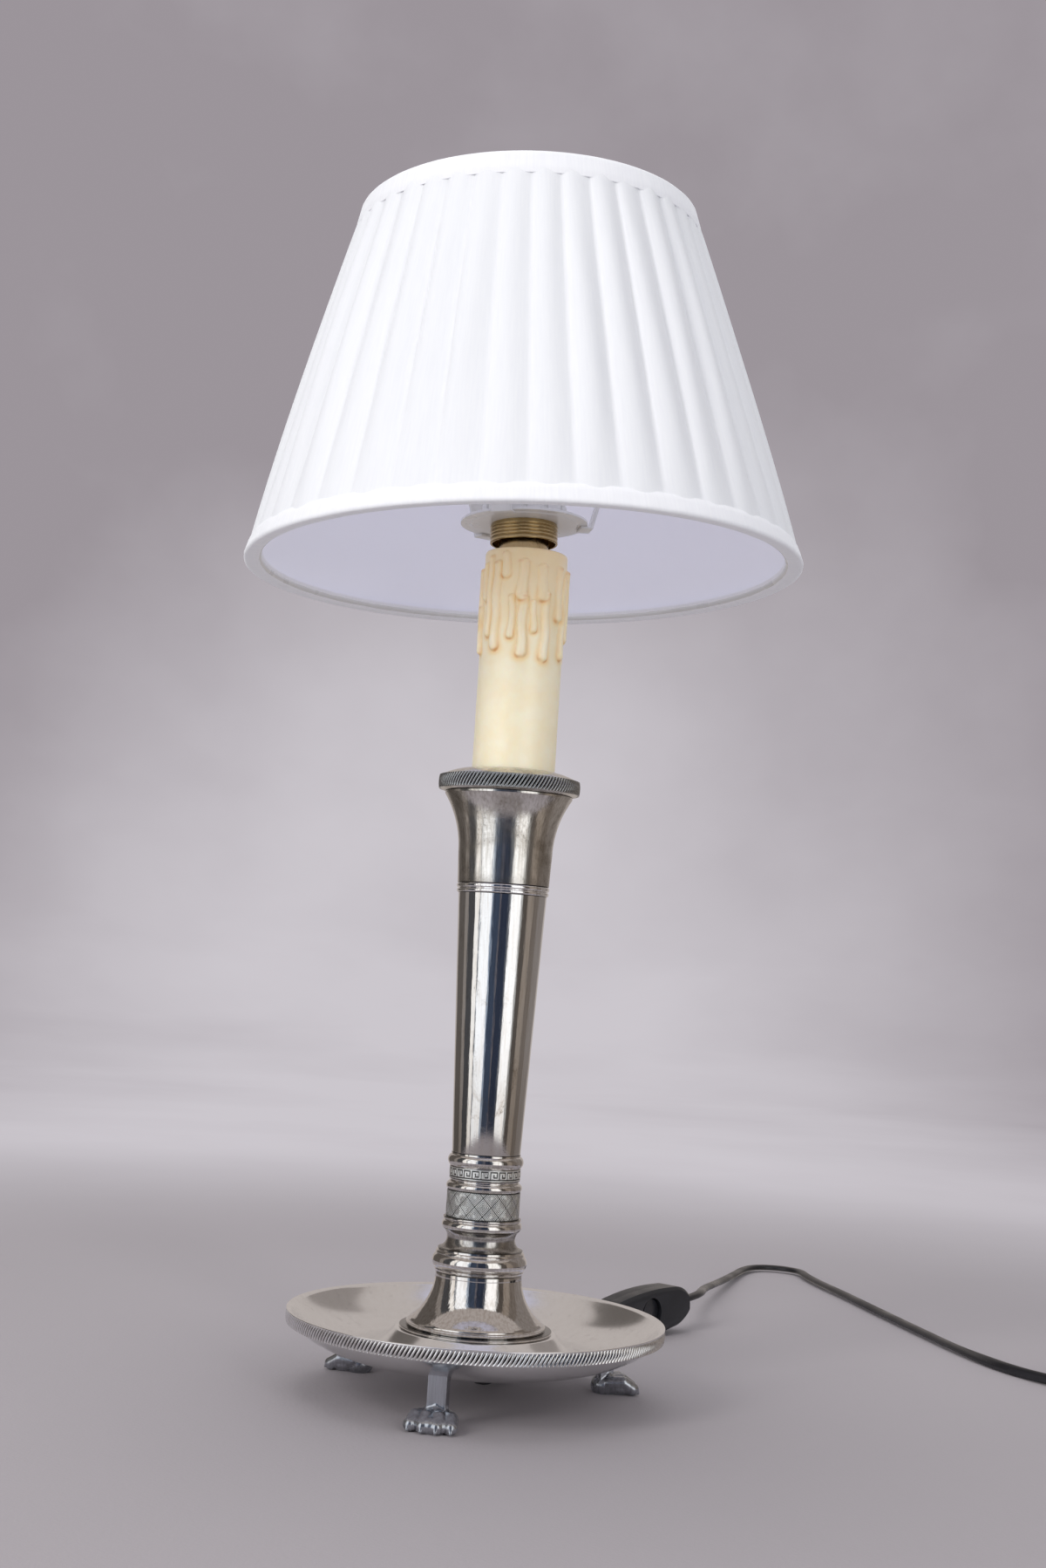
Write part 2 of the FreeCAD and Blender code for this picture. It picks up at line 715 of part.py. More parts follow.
kept(stacked(turned("cord_bush", [
    ("tube_bore - hole_clearance - bush_wall", "0", "0"),
    ("bush_flange_radius", "0", "0"),
    ("bush_flange_radius", "bush_flange_height", "0"),
    ("tube_bore - hole_clearance", "bush_flange_height", "0"),
    ("tube_bore - hole_clearance", "bush_flange_height + bush_spigot_height", "0"),
    ("tube_bore - hole_clearance - bush_wall", "bush_flange_height + bush_spigot_height", "0")]),
    TUBE_FOOT + " - bush_flange_height"), "cord_bush")

FLEX_EXIT = TUBE_FOOT + " - bush_flange_height"
INNER_FLEX_TOP = TUBE_TOP + " + pivot_rise - inner_flex_drop"
inner_flex = cylinder("inner_flex", "flex_radius", f"{INNER_FLEX_TOP} - ({FLEX_EXIT})")
kept(stacked(inner_flex, FLEX_EXIT), "inner_flex")

# The candle sleeve ---------------------------------------------------------------------------------

kept(stacked(turned("candle_seat", plain_ring(
    TUBE_HOLE, "candle_radius - candle_wall - candle_offset - hole_clearance", "seat_height")),
    PAN_TOP), "candle_seat")

# Each drip of wax: azimuth, how far down it runs from under the lip, and its radius.
DRIPS = [(-118, 24, 2.9), (-92, 31, 3.2), (-76, 12, 2.7), (-57, 21, 3.1), (-28, 35, 3.0), (-8, 16, 2.8),
         (22, 28, 3.1), (55, 18, 2.9), (84, 32, 3.2), (120, 22, 2.8), (150, 36, 3.1), (178, 20, 3.0),
         (205, 30, 2.9), (-136, 14, 2.8)]


def candle_shape():
    outer = size("candle_radius")
    inner = outer - size("candle_wall")
    height = size("candle_height")
    lip = size("candle_lip_round")
    corners = [(inner, 0), (outer, 0), (outer, height - lip), (outer - lip / 2, height), (inner, height)]
    section = [FreeCAD.Vector(radius, 0, rise) for radius, rise in corners + corners[:1]]
    sleeve = Part.Face(Part.makePolygon(section)).revolve(FreeCAD.Vector(), FreeCAD.Vector(0, 0, 1), 360)
    top = height - size("drip_top_drop")
    drips = []
    for azimuth, run, radius in DRIPS:
        middle = outer + size("drip_reach") - radius
        angle = math.radians(azimuth)
        start = FreeCAD.Vector(middle * math.cos(angle), middle * math.sin(angle), top)
        drips.append(capsule(start - FreeCAD.Vector(0, 0, run), start, radius))
    bore = Part.makeCylinder(inner, height)
    return sleeve.fuse(drips).cut(bore).removeSplitter()


shaped("candle_sleeve", candle_shape(), shift(size("candle_offset"), 0, size(PAN_TOP)))

# The lampholder ------------------------------------------------------------------------------------

CAP_HEIGHT = "cap_drop + barrel_rise"
holder_cap = turned("holder_cap", [
    ("cap_bore", "0", "0"),
    ("cap_foot_radius", "0", "0"),
    ("cap_radius", "cap_taper_height", "0"),
    ("cap_radius", CAP_HEIGHT, "0"),
    ("cap_radius - cap_wall", CAP_HEIGHT, "0"),
    ("cap_radius - cap_wall", "cap_floor", "0"),
    ("cap_bore", "cap_floor", "0")])
holder_cap.Placement = leaning("-cap_drop")
kept(holder_cap, "holder_cap")

barrel_blank = turned("barrel_blank", [
    ("cap_radius - cap_wall - hole_clearance", "0", "0"),
    ("barrel_radius", "0", "0"),
    ("barrel_radius", "barrel_length", "0"),
    ("barrel_bore", "barrel_length", "0"),
    ("barrel_bore", "barrel_floor", "0"),
    ("cap_radius - cap_wall - hole_clearance", "barrel_floor", "0")])
SLOT_START = "barrel_bore - slot_overrun"
bayonet_slots = []
for half in (0, 180):
    slot = joined(f"slot_{half}", [
        block(f"notch_{half}", (SLOT_START, "-slot_width / 2", "slot_floor_rise"),
              "barrel_radius", "slot_width", "slot_notch_height"),
        block(f"run_{half}", (SLOT_START, "-slot_width / 2", "slot_floor_rise"),
              "barrel_radius", "slot_width + slot_turn", "slot_run_height"),
        block(f"entry_{half}", (SLOT_START, "slot_turn - slot_width / 2", "slot_floor_rise"),
              "barrel_radius", "slot_width", "barrel_length")])
    slot.Placement = turn((0, 0, 1), half)
    bayonet_slots.append(slot)
holder_barrel = cut_away("holder_barrel", barrel_blank, joined("bayonet_slots", bayonet_slots))
holder_barrel.Placement = leaning("barrel_rise")
kept(holder_barrel, "holder_barrel")

# The insulator's head rests on the barrel's floor, and its stem hangs in the cap.
insulator_blank = turned("insulator_blank", [
    ("0", "0", "0"),
    ("insulator_stem_radius", "0", "0"),
    ("insulator_stem_radius", "insulator_stem_length", "0"),
    ("barrel_bore - hole_clearance", "insulator_stem_length", "0"),
    ("barrel_bore - hole_clearance", "insulator_stem_length + insulator_head_height", "0"),
    ("0", "insulator_stem_length + insulator_head_height", "0")])
PLUNGER_RISE = "bulb_seat_rise - plunger_length"
INSULATOR_RISE = "barrel_rise + barrel_floor - insulator_stem_length"
plungers = []
plunger_bores = []
for side, spacing in (("front", "-plunger_spacing"), ("back", "plunger_spacing")):
    plunger = cylinder(side + "_plunger", "plunger_radius", "plunger_length")
    tie(plunger, "Placement.Base.y", spacing)
    plungers.append(plunger)
    bore = cylinder(side + "_plunger_bore", "plunger_radius + plunger_clearance", "barrel_length")
    tie(bore, "Placement.Base.y", spacing)
    tie(bore, "Placement.Base.z", f"{PLUNGER_RISE} - plunger_travel - plunger_clearance - ({INSULATOR_RISE})")
    plunger_bores.append(bore)
insulator = cut_away("holder_insulator", insulator_blank, joined("plunger_bores", plunger_bores))
insulator.Placement = leaning(INSULATOR_RISE)
kept(insulator, "holder_insulator")
contact_plungers = joined("contact_plungers", plungers)
contact_plungers.Placement = leaning(PLUNGER_RISE)
kept(contact_plungers, "contact_plungers")

COLLAR_INNER = "barrel_radius + thread_clearance"
COLLAR_RISE = "barrel_rise + collar_band_height * 2 + collar_seat_gap - collar_height"
COLLAR_NECK = "collar_radius - collar_neck_draw"
GROOVE = "collar_radius - collar_groove_depth"
RIDGES = 3
collar = [(COLLAR_INNER, "0", "0"), ("collar_radius", "0", "0"), ("collar_radius", "collar_band_height", "0")]
for ridge in range(RIDGES):
    ridge_foot = f"collar_band_height + collar_groove_pitch * {ridge}"
    collar.append((GROOVE, ridge_foot + " + collar_groove_slope", "0"))
    collar.append(("collar_radius - collar_ridge_draw", ridge_foot + " + collar_ridge_rise", "0"))
neck_foot = f"collar_band_height + collar_groove_pitch * {RIDGES}"
collar.append((GROOVE, neck_foot + " + collar_groove_slope", "0"))
collar.append((COLLAR_NECK, neck_foot + " + collar_neck_rise", "collar_neck_draw"))
collar.append((COLLAR_NECK, "collar_height", "0"))
collar.append((COLLAR_INNER, "collar_height", "0"))
lower_shade_ring = turned("lower_shade_ring", collar)
lower_shade_ring.Placement = leaning(COLLAR_RISE)
kept(lower_shade_ring, "lower_shade_ring")

DISC_RISE = f"{COLLAR_RISE} + collar_height"
RING_RISE = f"{DISC_RISE} + disc_thickness + ring_play"
print("disc at", round(size(DISC_RISE), 3), "ring at", round(size(RING_RISE), 3))

fitter_disc = turned("fitter_disc", [
    ("barrel_radius + disc_clearance", "0", "0"),
    ("disc_step_radius", "0", "0"),
    ("disc_step_radius", "disc_step", "0"),
    ("disc_radius", "disc_step", "0"),
    ("disc_radius", "disc_thickness", "0"),
    ("barrel_radius + disc_clearance", "disc_thickness", "0")])
fitter_disc.Placement = leaning(DISC_RISE)
kept(fitter_disc, "fitter_disc")

upper_ring = turned("upper_shade_ring", plain_ring(
    "barrel_radius + thread_clearance + ring_play", "ring_radius", "ring_height"))
document.recompute()
slot_sketch = new_sketch(upper_ring, "XY_Plane", "grip_slot")
draw_outline(slot_sketch, [
    ("ring_radius - ring_slot_depth", "-ring_slot_width / 2", "0"),
    ("ring_radius + ring_slot_depth", "-ring_slot_width / 2", "0"),
    ("ring_radius + ring_slot_depth", "ring_slot_width / 2", "0"),
    ("ring_radius - ring_slot_depth", "ring_slot_width / 2", "0")])
grip_slot = add_pocket(upper_ring, slot_sketch, "ring_height * 2", both_ways=True)
grip_slots = upper_ring.newObject("PartDesign::PolarPattern", "grip_slots")
grip_slots.Originals = [grip_slot]
grip_slots.Axis = (slot_sketch, ["N_Axis"])
grip_slots.Angle = 360
tie(grip_slots, "Occurrences", "ring_slot_count")
upper_ring.Tip = grip_slots
upper_ring.Placement = leaning(RING_RISE)
kept(upper_ring, "upper_shade_ring")

# The bulb ------------------------------------------------------------------------------------------

bulb_cap = turned("bulb_cap", [
    ("0", "0", "0"),
    ("bulb_cap_radius - bulb_cap_edge", "0", "0"),
    ("bulb_cap_radius", "bulb_cap_edge", "0"),
    ("bulb_cap_radius", "bulb_cap_height", "0"),
    ("bulb_cap_radius - bulb_cap_wall", "bulb_cap_height", "0"),
    ("bulb_cap_radius - bulb_cap_wall", "bulb_cap_floor", "0"),
    ("0", "bulb_cap_floor", "0")])
bulb_cap.Placement = leaning("bulb_seat_rise")
kept(bulb_cap, "bulb_cap")

NECK = "bulb_cap_radius - bulb_cap_wall - hole_clearance"
CROWN = "bulb_length - bulb_cap_height + glass_overlap"
WIDEST = f"{CROWN} - bulb_radius"
THROAT = "bulb_radius * glass_throat_share"
THROAT_RISE = "glass_overlap + glass_throat_rise"
SIDE = "bulb_radius * glass_side_share"
SIDE_RISE = f"({WIDEST}) * glass_side_rise_share"
bulb_glass = turned("bulb_glass", [
    (NECK + " - glass_wall", "0", "0"),
    (NECK, "0", "0"),
    (NECK, "glass_overlap + glass_neck_lap", "0"),
    (THROAT, THROAT_RISE, "-glass_throat_waist"),
    (SIDE, SIDE_RISE, "bulb_radius * glass_swell_share"),
    ("bulb_radius", WIDEST, "bulb_radius * (1 - cos(45))"),
    ("0", CROWN, "0"),
    ("0", f"{CROWN} - glass_wall", "-(bulb_radius - glass_wall) * (1 - cos(45))"),
    ("bulb_radius - glass_wall", WIDEST, "-bulb_radius * glass_swell_share"),
    (SIDE + " - glass_wall", SIDE_RISE, "glass_throat_waist"),
    (THROAT + " - glass_wall", THROAT_RISE + " + glass_wall / 2", "0"),
    (NECK + " - glass_wall", "glass_overlap + glass_wall", "0")])
bulb_glass.Placement = leaning("bulb_seat_rise + bulb_cap_height - glass_overlap")
kept(bulb_glass, "bulb_glass")

pin_rod = cylinder("pin_rod", "bulb_pin_radius", "bulb_pin_reach * 2")
pin_rod.Placement = FreeCAD.Placement(FreeCAD.Vector(-size("bulb_pin_reach"), 0, 0),
                                      FreeCAD.Rotation(FreeCAD.Vector(0, 1, 0), 90))
tie(pin_rod, "Placement.Base.x", "-bulb_pin_reach")
pin_core = cylinder("pin_core", "bulb_cap_radius", "bulb_pin_radius * 4")
tie(pin_core, "Placement.Base.z", "-bulb_pin_radius * 2")
bulb_pins = cut_away("bulb_pins", pin_rod, pin_core)
bulb_pins.Placement = leaning("bulb_seat_rise + bulb_pin_rise")
kept(bulb_pins, "bulb_pins")

# The shade -----------------------------------------------------------------------------------------

SLOPE = "(shade_bottom_radius - shade_top_radius) / shade_height"
LINER_GAP = "tape_thickness + pleat_depth"
LINER_LOW = f"shade_bottom_radius - ({LINER_GAP}) - {SLOPE} * tape_thickness"
LINER_HIGH = f"shade_top_radius - ({LINER_GAP}) + {SLOPE} * tape_thickness"
SHADE_EDGE = "shade_height - tape_thickness"

shade_liner = turned("shade_liner", [
    (LINER_LOW + " - liner_thickness", "tape_thickness", "0"),
    (LINER_LOW, "tape_thickness", "0"),
    (LINER_HIGH, SHADE_EDGE, "0"),
    (LINER_HIGH + " - liner_thickness", SHADE_EDGE, "0")])
shade_liner.Placement = leaning("-shade_drop")
kept(shade_liner, "shade_liner")


def pleated_shape():
    """Knife pleats: each folds out slowly to its tip and returns at once to the next root."""
    count = int(size("pleat_count"))
    thickness = size("tape_thickness")
    rings = []
    for radius, rise in ((LINER_LOW, thickness), (LINER_HIGH, size(SHADE_EDGE))):
        corners = []
        for pleat in range(count):
            for part, proud in ((0.0, "pleat_root"), (0.8, "pleat_depth")):
                angle = 2 * math.pi * (pleat + part) / count
                reach = size(f"{radius} + {proud}")
                corners.append(FreeCAD.Vector(reach * math.cos(angle), reach * math.sin(angle), rise))
        rings.append(Part.makePolygon(corners + corners[:1]))
    folds = Part.makeLoft(rings, True, True)
    inside = Part.makeCone(size(LINER_LOW), size(LINER_HIGH), size(SHADE_EDGE) - thickness,
                           FreeCAD.Vector(0, 0, thickness))
    return folds.cut(inside)


shaped("pleated_cover", pleated_shape(), leaning("-shade_drop"))

WIRE_GAP = "liner_thickness + wire_radius + wire_clearance * 2"
BOTTOM_WIRE = f"{LINER_LOW} - ({WIRE_GAP}) - {SLOPE} * wire_radius * 2"
TOP_WIRE = f"{LINER_HIGH} - ({WIRE_GAP})"
BOTTOM_WIRE_RISE = "tape_thickness + wire_radius + wire_clearance"
TOP_WIRE_RISE = "shade_height - tape_thickness - wire_radius - wire_clearance"
BOTTOM_RETURN = f"{BOTTOM_WIRE} - wire_radius - wire_clearance"
TOP_RETURN = f"{TOP_WIRE} - wire_radius - wire_clearance"

bottom_trim = turned("bottom_trim", [
    (BOTTOM_RETURN + " - tape_thickness", "0", "0"),
    ("shade_bottom_radius", "0", "0"),
    (f"shade_bottom_radius - {SLOPE} * bottom_tape_height", "bottom_tape_height", "0"),
    (f"shade_bottom_radius - {SLOPE} * bottom_tape_height - tape_thickness", "bottom_tape_height", "0"),
    (f"shade_bottom_radius - {SLOPE} * tape_thickness - tape_thickness", "tape_thickness", "0"),
    (BOTTOM_RETURN, "tape_thickness", "0"),
    (BOTTOM_RETURN, "tape_return", "0"),
    (BOTTOM_RETURN + " - tape_thickness", "tape_return", "0")])
bottom_trim.Placement = leaning("-shade_drop")
kept(bottom_trim, "bottom_trim")

top_trim = turned("top_trim", [
    (f"shade_top_radius + {SLOPE} * top_tape_height - tape_thickness", "0", "0"),
    (f"shade_top_radius + {SLOPE} * top_tape_height", "0", "0"),
    ("shade_top_radius", "top_tape_height", "0"),
    (TOP_RETURN + " - tape_thickness", "top_tape_height", "0"),
    (TOP_RETURN + " - tape_thickness", "top_tape_height - tape_return", "0"),
    (TOP_RETURN, "top_tape_height - tape_return", "0"),
    (TOP_RETURN, "top_tape_height - tape_thickness", "0"),
    (f"shade_top_radius + {SLOPE} * tape_thickness - tape_thickness", "top_tape_height - tape_thickness",
     "0")])
top_trim.Placement = leaning("shade_height - top_tape_height - shade_drop")
kept(top_trim, "top_trim")

for name, radius, rise in (("bottom_wire_ring", BOTTOM_WIRE, BOTTOM_WIRE_RISE),
                           ("top_wire_ring", TOP_WIRE, TOP_WIRE_RISE)):
    wire = document.addObject("Part::Torus", name)
    tie(wire, "Radius1", radius)
    tie(wire, "Radius2", "wire_radius")
    wire.Placement = leaning(f"{rise} - shade_drop")
    kept(wire, name)

# Each arm laps under the disc's rim and climbs to the top wire. Its outline is in radius and height
# above the disc's underside.
ARM_TOP = f"{TOP_WIRE_RISE} - wire_radius - wire_clearance - shade_drop - ({DISC_RISE})"
ARM_BEND = "disc_radius + arm_bend_gap"
for side in ("front", "right", "left"):
    arm = document.addObject("PartDesign::Body", side + "_arm")
    arm_sketch = new_sketch(arm, "XZ_Plane")
    draw_outline(arm_sketch, [
        ("disc_radius - arm_lap", "disc_step - arm_thickness", "0"),
        (ARM_BEND + " + arm_thickness * 0.8", "disc_step - arm_thickness", "0"),
        (f"{TOP_WIRE} + arm_thickness / 2", ARM_TOP, "0"),
        (f"{TOP_WIRE} - arm_thickness / 2", ARM_TOP, "0"),
        (ARM_BEND, "disc_step", "0"),
        ("disc_radius - arm_lap", "disc_step", "0")])
    add_pad(arm, arm_sketch, "arm_width", both_ways=True)
    arm.Placement = leaning(DISC_RISE, size(side + "_arm_azimuth"))
    kept(arm, side + "_arm")

# The switch on the cord ----------------------------------------------------------------------------
# Its own frame: X along the cord, Y through its thickness away from the rocker, Z across its width.

SWITCH = (shift(size("switch_place_x"), size("switch_place_y"), size("switch_place_z"))
          * turn((0, 0, 1), size("switch_heading")) * turn((0, 1, 0), -size("switch_climb")))


def leaf_outline(inset):
    """The switch's leaf shape, or its cavity where it is inset by the wall."""
    end = f"switch_half_length - {inset}"
    end_half = f"switch_end_half - {inset} * switch_end_draw"
    shoulder = f"switch_shoulder - {inset} * switch_shoulder_draw"
    half = f"switch_shoulder_half - {inset}"
    return [(end, end_half, "switch_corner"),
            (shoulder, half, "switch_crown"),
            (f"-({shoulder})", half, "switch_corner"),
            (f"-({end})", end_half, "0"),
            (f"-({end})", f"-({end_half})", "switch_corner"),
            (f"-({shoulder})", f"-({half})", "switch_crown"),
            (shoulder, f"-({half})", "switch_corner"),
            (end, f"-({end_half})", "0")]


def rectangle(low_across, low_up, high_across, high_up):
    return [(low_across, low_up, "0"), (high_across, low_up, "0"),
            (high_across, high_up, "0"), (low_across, high_up, "0")]


def chamfer_outer_face(body, distance, across):
    """Break the edges of the face that lies furthest out."""
    document.recompute()
    edges = []
    for number, edge in enumerate(body.Shape.Edges, start=1):
        if all(abs(vertex.Point.y - across) < 1e-6 for vertex in edge.Vertexes):
            edges.append(f"Edge{number}")
    padded = body.Tip
    chamfer = body.newObject("PartDesign::Chamfer", "edge")
    chamfer.Base = (padded, edges)
    tie(chamfer, "Size", distance)
    document.recompute()


def switch_shell(name, facing):
    """Half of the switch's case. Facing is -1 for the rocker's side and 1 for the back."""
    backwards = facing > 0
    shell = document.addObject("PartDesign::Body", name)
    leaf = new_sketch(shell, "XZ_Plane", "leaf")
    draw_outline(leaf, leaf_outline("0"))
    add_pad(shell, leaf, "switch_half_thickness", backwards=backwards)
    chamfer_outer_face(shell, "switch_edge", facing * size("switch_half_thickness"))
    cavity = new_sketch(shell, "XZ_Plane", "cavity")
    draw_outline(cavity, leaf_outline("switch_wall"))
    for place in ("screw_place", "-screw_place"):
        draw_circle(cavity, place, "0", "boss_radius")
    if facing < 0:
        draw_circle(cavity, "0", "0", "recess_radius + recess_wall")
    else:
        ear_outer = "ear_inner + ear_width"
        for low, high in (("ear_inner", ear_outer), (f"-({ear_outer})", "-ear_inner")):
            draw_outline(cavity, rectangle("-ear_half_length", low, "ear_half_length", high))
    add_pocket(shell, cavity, "switch_half_thickness - switch_wall", backwards=not backwards)
    holes = new_sketch(shell, "XZ_Plane", "screw_holes")
    for place in ("screw_place", "-screw_place"):
        draw_circle(holes, place, "0", "screw_radius + hole_clearance")
    depth = "screw_bite + hole_clearance" if facing < 0 else "switch_half_thickness * 2"
    add_pocket(shell, holes, depth, backwards=not backwards)
    if facing < 0:
        recess = new_sketch(shell, "XZ_Plane", "recess")
        draw_circle(recess, "0", "0", "recess_radius")
        add_pocket(shell, recess, "switch_half_thickness * 2", backwards=True)
    pin_hole = new_sketch(shell, "XY_Plane", "pin_hole")
    if facing < 0:
        draw_circle(pin_hole, "0", "-rocker_depth", "rocker_pin_radius + pin_clearance")
        add_pocket(shell, pin_hole, "(recess_radius + recess_wall + bore_overrun) * 2", both_ways=True)
    else:
        draw_circle(pin_hole, "0", "lever_depth", "lever_pin_radius + pin_clearance")
        add_pocket(shell, pin_hole, "(ear_inner + ear_width + bore_overrun) * 2", both_ways=True)
    return shell


front_shell = switch_shell("switch_front_shell", -1)
front_shell.Placement = SWITCH
kept(front_shell, "switch_front_shell")

back_blank = switch_shell("back_blank", 1)
counterbores = []
screws = []
UPRIGHT = FreeCAD.Rotation(FreeCAD.Vector(1, 0, 0), 90)
for side, place in (("inlet", "-screw_place"), ("outlet", "screw_place")):
    counterbore = cylinder(side + "_counterbore", "screw_head_radius + hole_clearance",
                           "screw_head_height + bore_overrun")
    counterbore.Placement = FreeCAD.Placement(FreeCAD.Vector(), UPRIGHT)
    tie(counterbore, "Placement.Base.x", place)
    tie(counterbore, "Placement.Base.y", "switch_half_thickness + bore_overrun")
    counterbores.append(counterbore)
    head = cylinder(side + "_screw_head", "screw_head_radius", "screw_head_height")
    shank = cylinder(side + "_screw_shank", "screw_radius", "switch_half_thickness + screw_bite")
    for piece in (head, shank):
        piece.Placement = FreeCAD.Placement(FreeCAD.Vector(), UPRIGHT)
        tie(piece, "Placement.Base.x", place)
        tie(piece, "Placement.Base.y", "switch_half_thickness")
    screws += [head, shank]
back_shell = cut_away("switch_back_shell", back_blank, joined("counterbores", counterbores))
back_shell.Placement = SWITCH
kept(back_shell, "switch_back_shell")
switch_screws = joined("switch_screws", screws)
switch_screws.Placement = SWITCH
kept(switch_screws, "switch_screws")

TERMINAL_LOW = "switch_half_thickness - switch_wall - terminal_depth"
terminals = joined("switch_terminals", [
    block("inlet_terminal", ("-terminal_place - terminal_length / 2", TERMINAL_LOW, "-terminal_width / 2"),
          "terminal_length", "terminal_depth", "terminal_width"),
    block("outlet_terminal", ("terminal_place - terminal_length / 2", TERMINAL_LOW, "-terminal_width / 2"),
          "terminal_length", "terminal_depth", "terminal_width")])
terminals.Placement = SWITCH
kept(terminals, "switch_terminals")

rocker_face = cylinder("rocker_face", "recess_radius - rocker_clearance", "rocker_outer + rocker_inner")
rocker_face.Placement = FreeCAD.Placement(FreeCAD.Vector(), UPRIGHT)
tie(rocker_face, "Placement.Base.y", "rocker_inner")
rocker_pin = cylinder("rocker_pin", "rocker_pin_radius", "rocker_pin_reach * 2")
tie(rocker_pin, "Placement.Base.z", "-rocker_pin_reach")
rocker = joined("switch_rocker", [rocker_face, rocker_pin])
ROCKER = SWITCH * shift(y=-size("rocker_depth"))
rocker.Placement = ROCKER * turn((0, 0, 1), size("rocker_lean"))
kept(rocker, "switch_rocker")

lever_strip = block("lever_strip", ("-lever_half_length", "-lever_thickness / 2", "-lever_half_width"),
                    "lever_half_length * 2", "lever_thickness", "lever_half_width * 2")
lever_hub = cylinder("lever_hub", "lever_hub_radius", "lever_half_width * 2")
tie(lever_hub, "Placement.Base.z", "-lever_half_width")
lever_pin = cylinder("lever_pin", "lever_pin_radius", "lever_pin_reach * 2")
tie(lever_pin, "Placement.Base.z", "-lever_pin_reach")
lever = joined("contact_lever", [lever_strip, lever_hub, lever_pin])
LEVER = SWITCH * shift(y=size("lever_depth"))
lever.Placement = LEVER * turn((0, 0, 1), -size("rocker_lean"))
kept(lever, "contact_lever")
hinge_axis = SWITCH.Rotation.multVec(FreeCAD.Vector(0, 0, 1))
print("rocker pivot", tuple(ROCKER.Base), "lever pivot", tuple(LEVER.Base), "axis", tuple(hinge_axis))

# The flex ------------------------------------------------------------------------------------------

flex = size("flex_radius")
rest = size("flex_rest")
inlet = SWITCH.multVec(FreeCAD.Vector(-size("switch_half_length"), 0, 0))
outlet = SWITCH.multVec(FreeCAD.Vector(size("switch_half_length"), 0, 0))
along_switch = SWITCH.Rotation.multVec(FreeCAD.Vector(1, 0, 0))

coil_centre = FreeCAD.Vector(size("coil_centre_x"), size("coil_centre_y"), 0)
coil_low = flex + size("coil_lift")
coil_half = size("coil_turns") / 2


def coil_point(turns):
    """The coil's centre line: it spirals in, climbs one layer in half a turn and spirals out again."""
    radius = size("coil_middle_radius") + size("coil_pitch") * (abs(turns - coil_half) - coil_half / 2)
    climb = min(1.0, max(0.0, (turns - coil_half) * 2 + 0.5))
    angle = math.radians(size("coil_start_angle")) + 2 * math.pi * turns
    height = coil_low + size("coil_pitch") * (1 - math.cos(math.pi * climb)) / 2
    return coil_centre + FreeCAD.Vector(radius * math.cos(angle), radius * math.sin(angle), height)


def coil_direction(turns):
    return (coil_point(turns + 1e-4) - coil_point(turns - 1e-4)).normalize()


coil_entry = coil_point(0) - coil_direction(0) * 2 * flex
coil_exit = coil_point(size("coil_turns")) + coil_direction(size("coil_turns")) * 2 * flex
exit_way = coil_direction(size("coil_turns"))
lead_way = FreeCAD.Vector(exit_way.x, exit_way.y, 0).normalize()
lead_end = coil_exit + lead_way * size("lead_length")
lead_end.z = size("plug_half_thickness")

# The routes' free points are places on and over the floor, chosen by hand; the rest follow the pieces.
LAMP_ROUTE = [(0, 0, size(FLEX_EXIT)), (0, 0, 12.6), (1.6, 5.6, 6.4), (4.6, 14.6, 3.3), (9.5, 28, rest),
              (18, 54, rest), (30, 87, rest), (41, 112, 3.4), (49, 126.5, 6.2),
              inlet - along_switch * 9, inlet]
PLUG_ROUTE = [outlet, outlet + along_switch * 9, (119.5, 212, 16.2), (123, 235, 14.2), (128.5, 267, 11),
              (138, 305, 7.6), (149, 345, 4.8), (159.5, 381, 3.1), (166.3, 402.2, rest),
              (173.8, 415.2, rest), (182.2, 420, rest), (191.8, 420, rest), (200.2, 415.2, rest),
              (205, 406.8, rest), (205.6, 390, rest), (210.5, 362, rest), (218.5, 328, rest),
              (228.5, 276, rest), (240, 219, rest), (251.5, 164, rest), (262.5, 127, rest), (276, 104, 2.9),
              coil_entry - coil_direction(0) * 14, coil_entry]
LEAD_ROUTE = [coil_exit, coil_exit + exit_way * 5, lead_end - lead_way * 6, lead_end]


def rounded_path(points):
    """Straight runs joined by arcs, each as large as its two runs allow."""
    edges = []
    radii = []
    here = points[0]
    for before, corner, after in zip(points, points[1:], points[2:]):
        back = (before - corner)
        on = (after - corner)
        shorter = min(back.Length, on.Length)
        half_turn = (math.pi - back.getAngle(on)) / 2
        if half_turn < 1e-4:
            continue
        trim = 0.45 * shorter
        radius = trim / math.tan(half_turn)
        back.normalize()
        on.normalize()
        start = corner + back * trim
        end = corner + on * trim
        inwards = (back + on).normalize()
        middle = corner + inwards * (radius / math.cos(half_turn) - radius)
        edges.append(Part.LineSegment(here, start).toShape())
        edges.append(Part.Arc(start, middle, end).toShape())
        radii.append(radius)
        here = end
    edges.append(Part.LineSegment(here, points[-1]).toShape())
    return Part.Wire(edges), radii


def tube_along(path, start, direction):
    profile = Part.Wire([Part.Circle(start, direction, flex).toShape()])
    sweep = Part.BRepOffsetAPI.MakePipeShell(path)
    sweep.add(profile)
    sweep.build()
    sweep.makeSolid()
    return sweep.shape()


def free_flex(name, route):
    points = [FreeCAD.Vector(place) for place in route]
    path, radii = rounded_path(points)
    tube = tube_along(path, points[0], points[1] - points[0])
    ratio = tube.Volume / (path.Length * math.pi * flex ** 2)
    print(name, "length", round(path.Length, 1), "volume ratio", round(ratio, 4))
    print("  lowest", round(tube.BoundBox.ZMin, 2), "tightest bend", round(min(radii), 1))
    shaped(name, tube)
    return path.Length


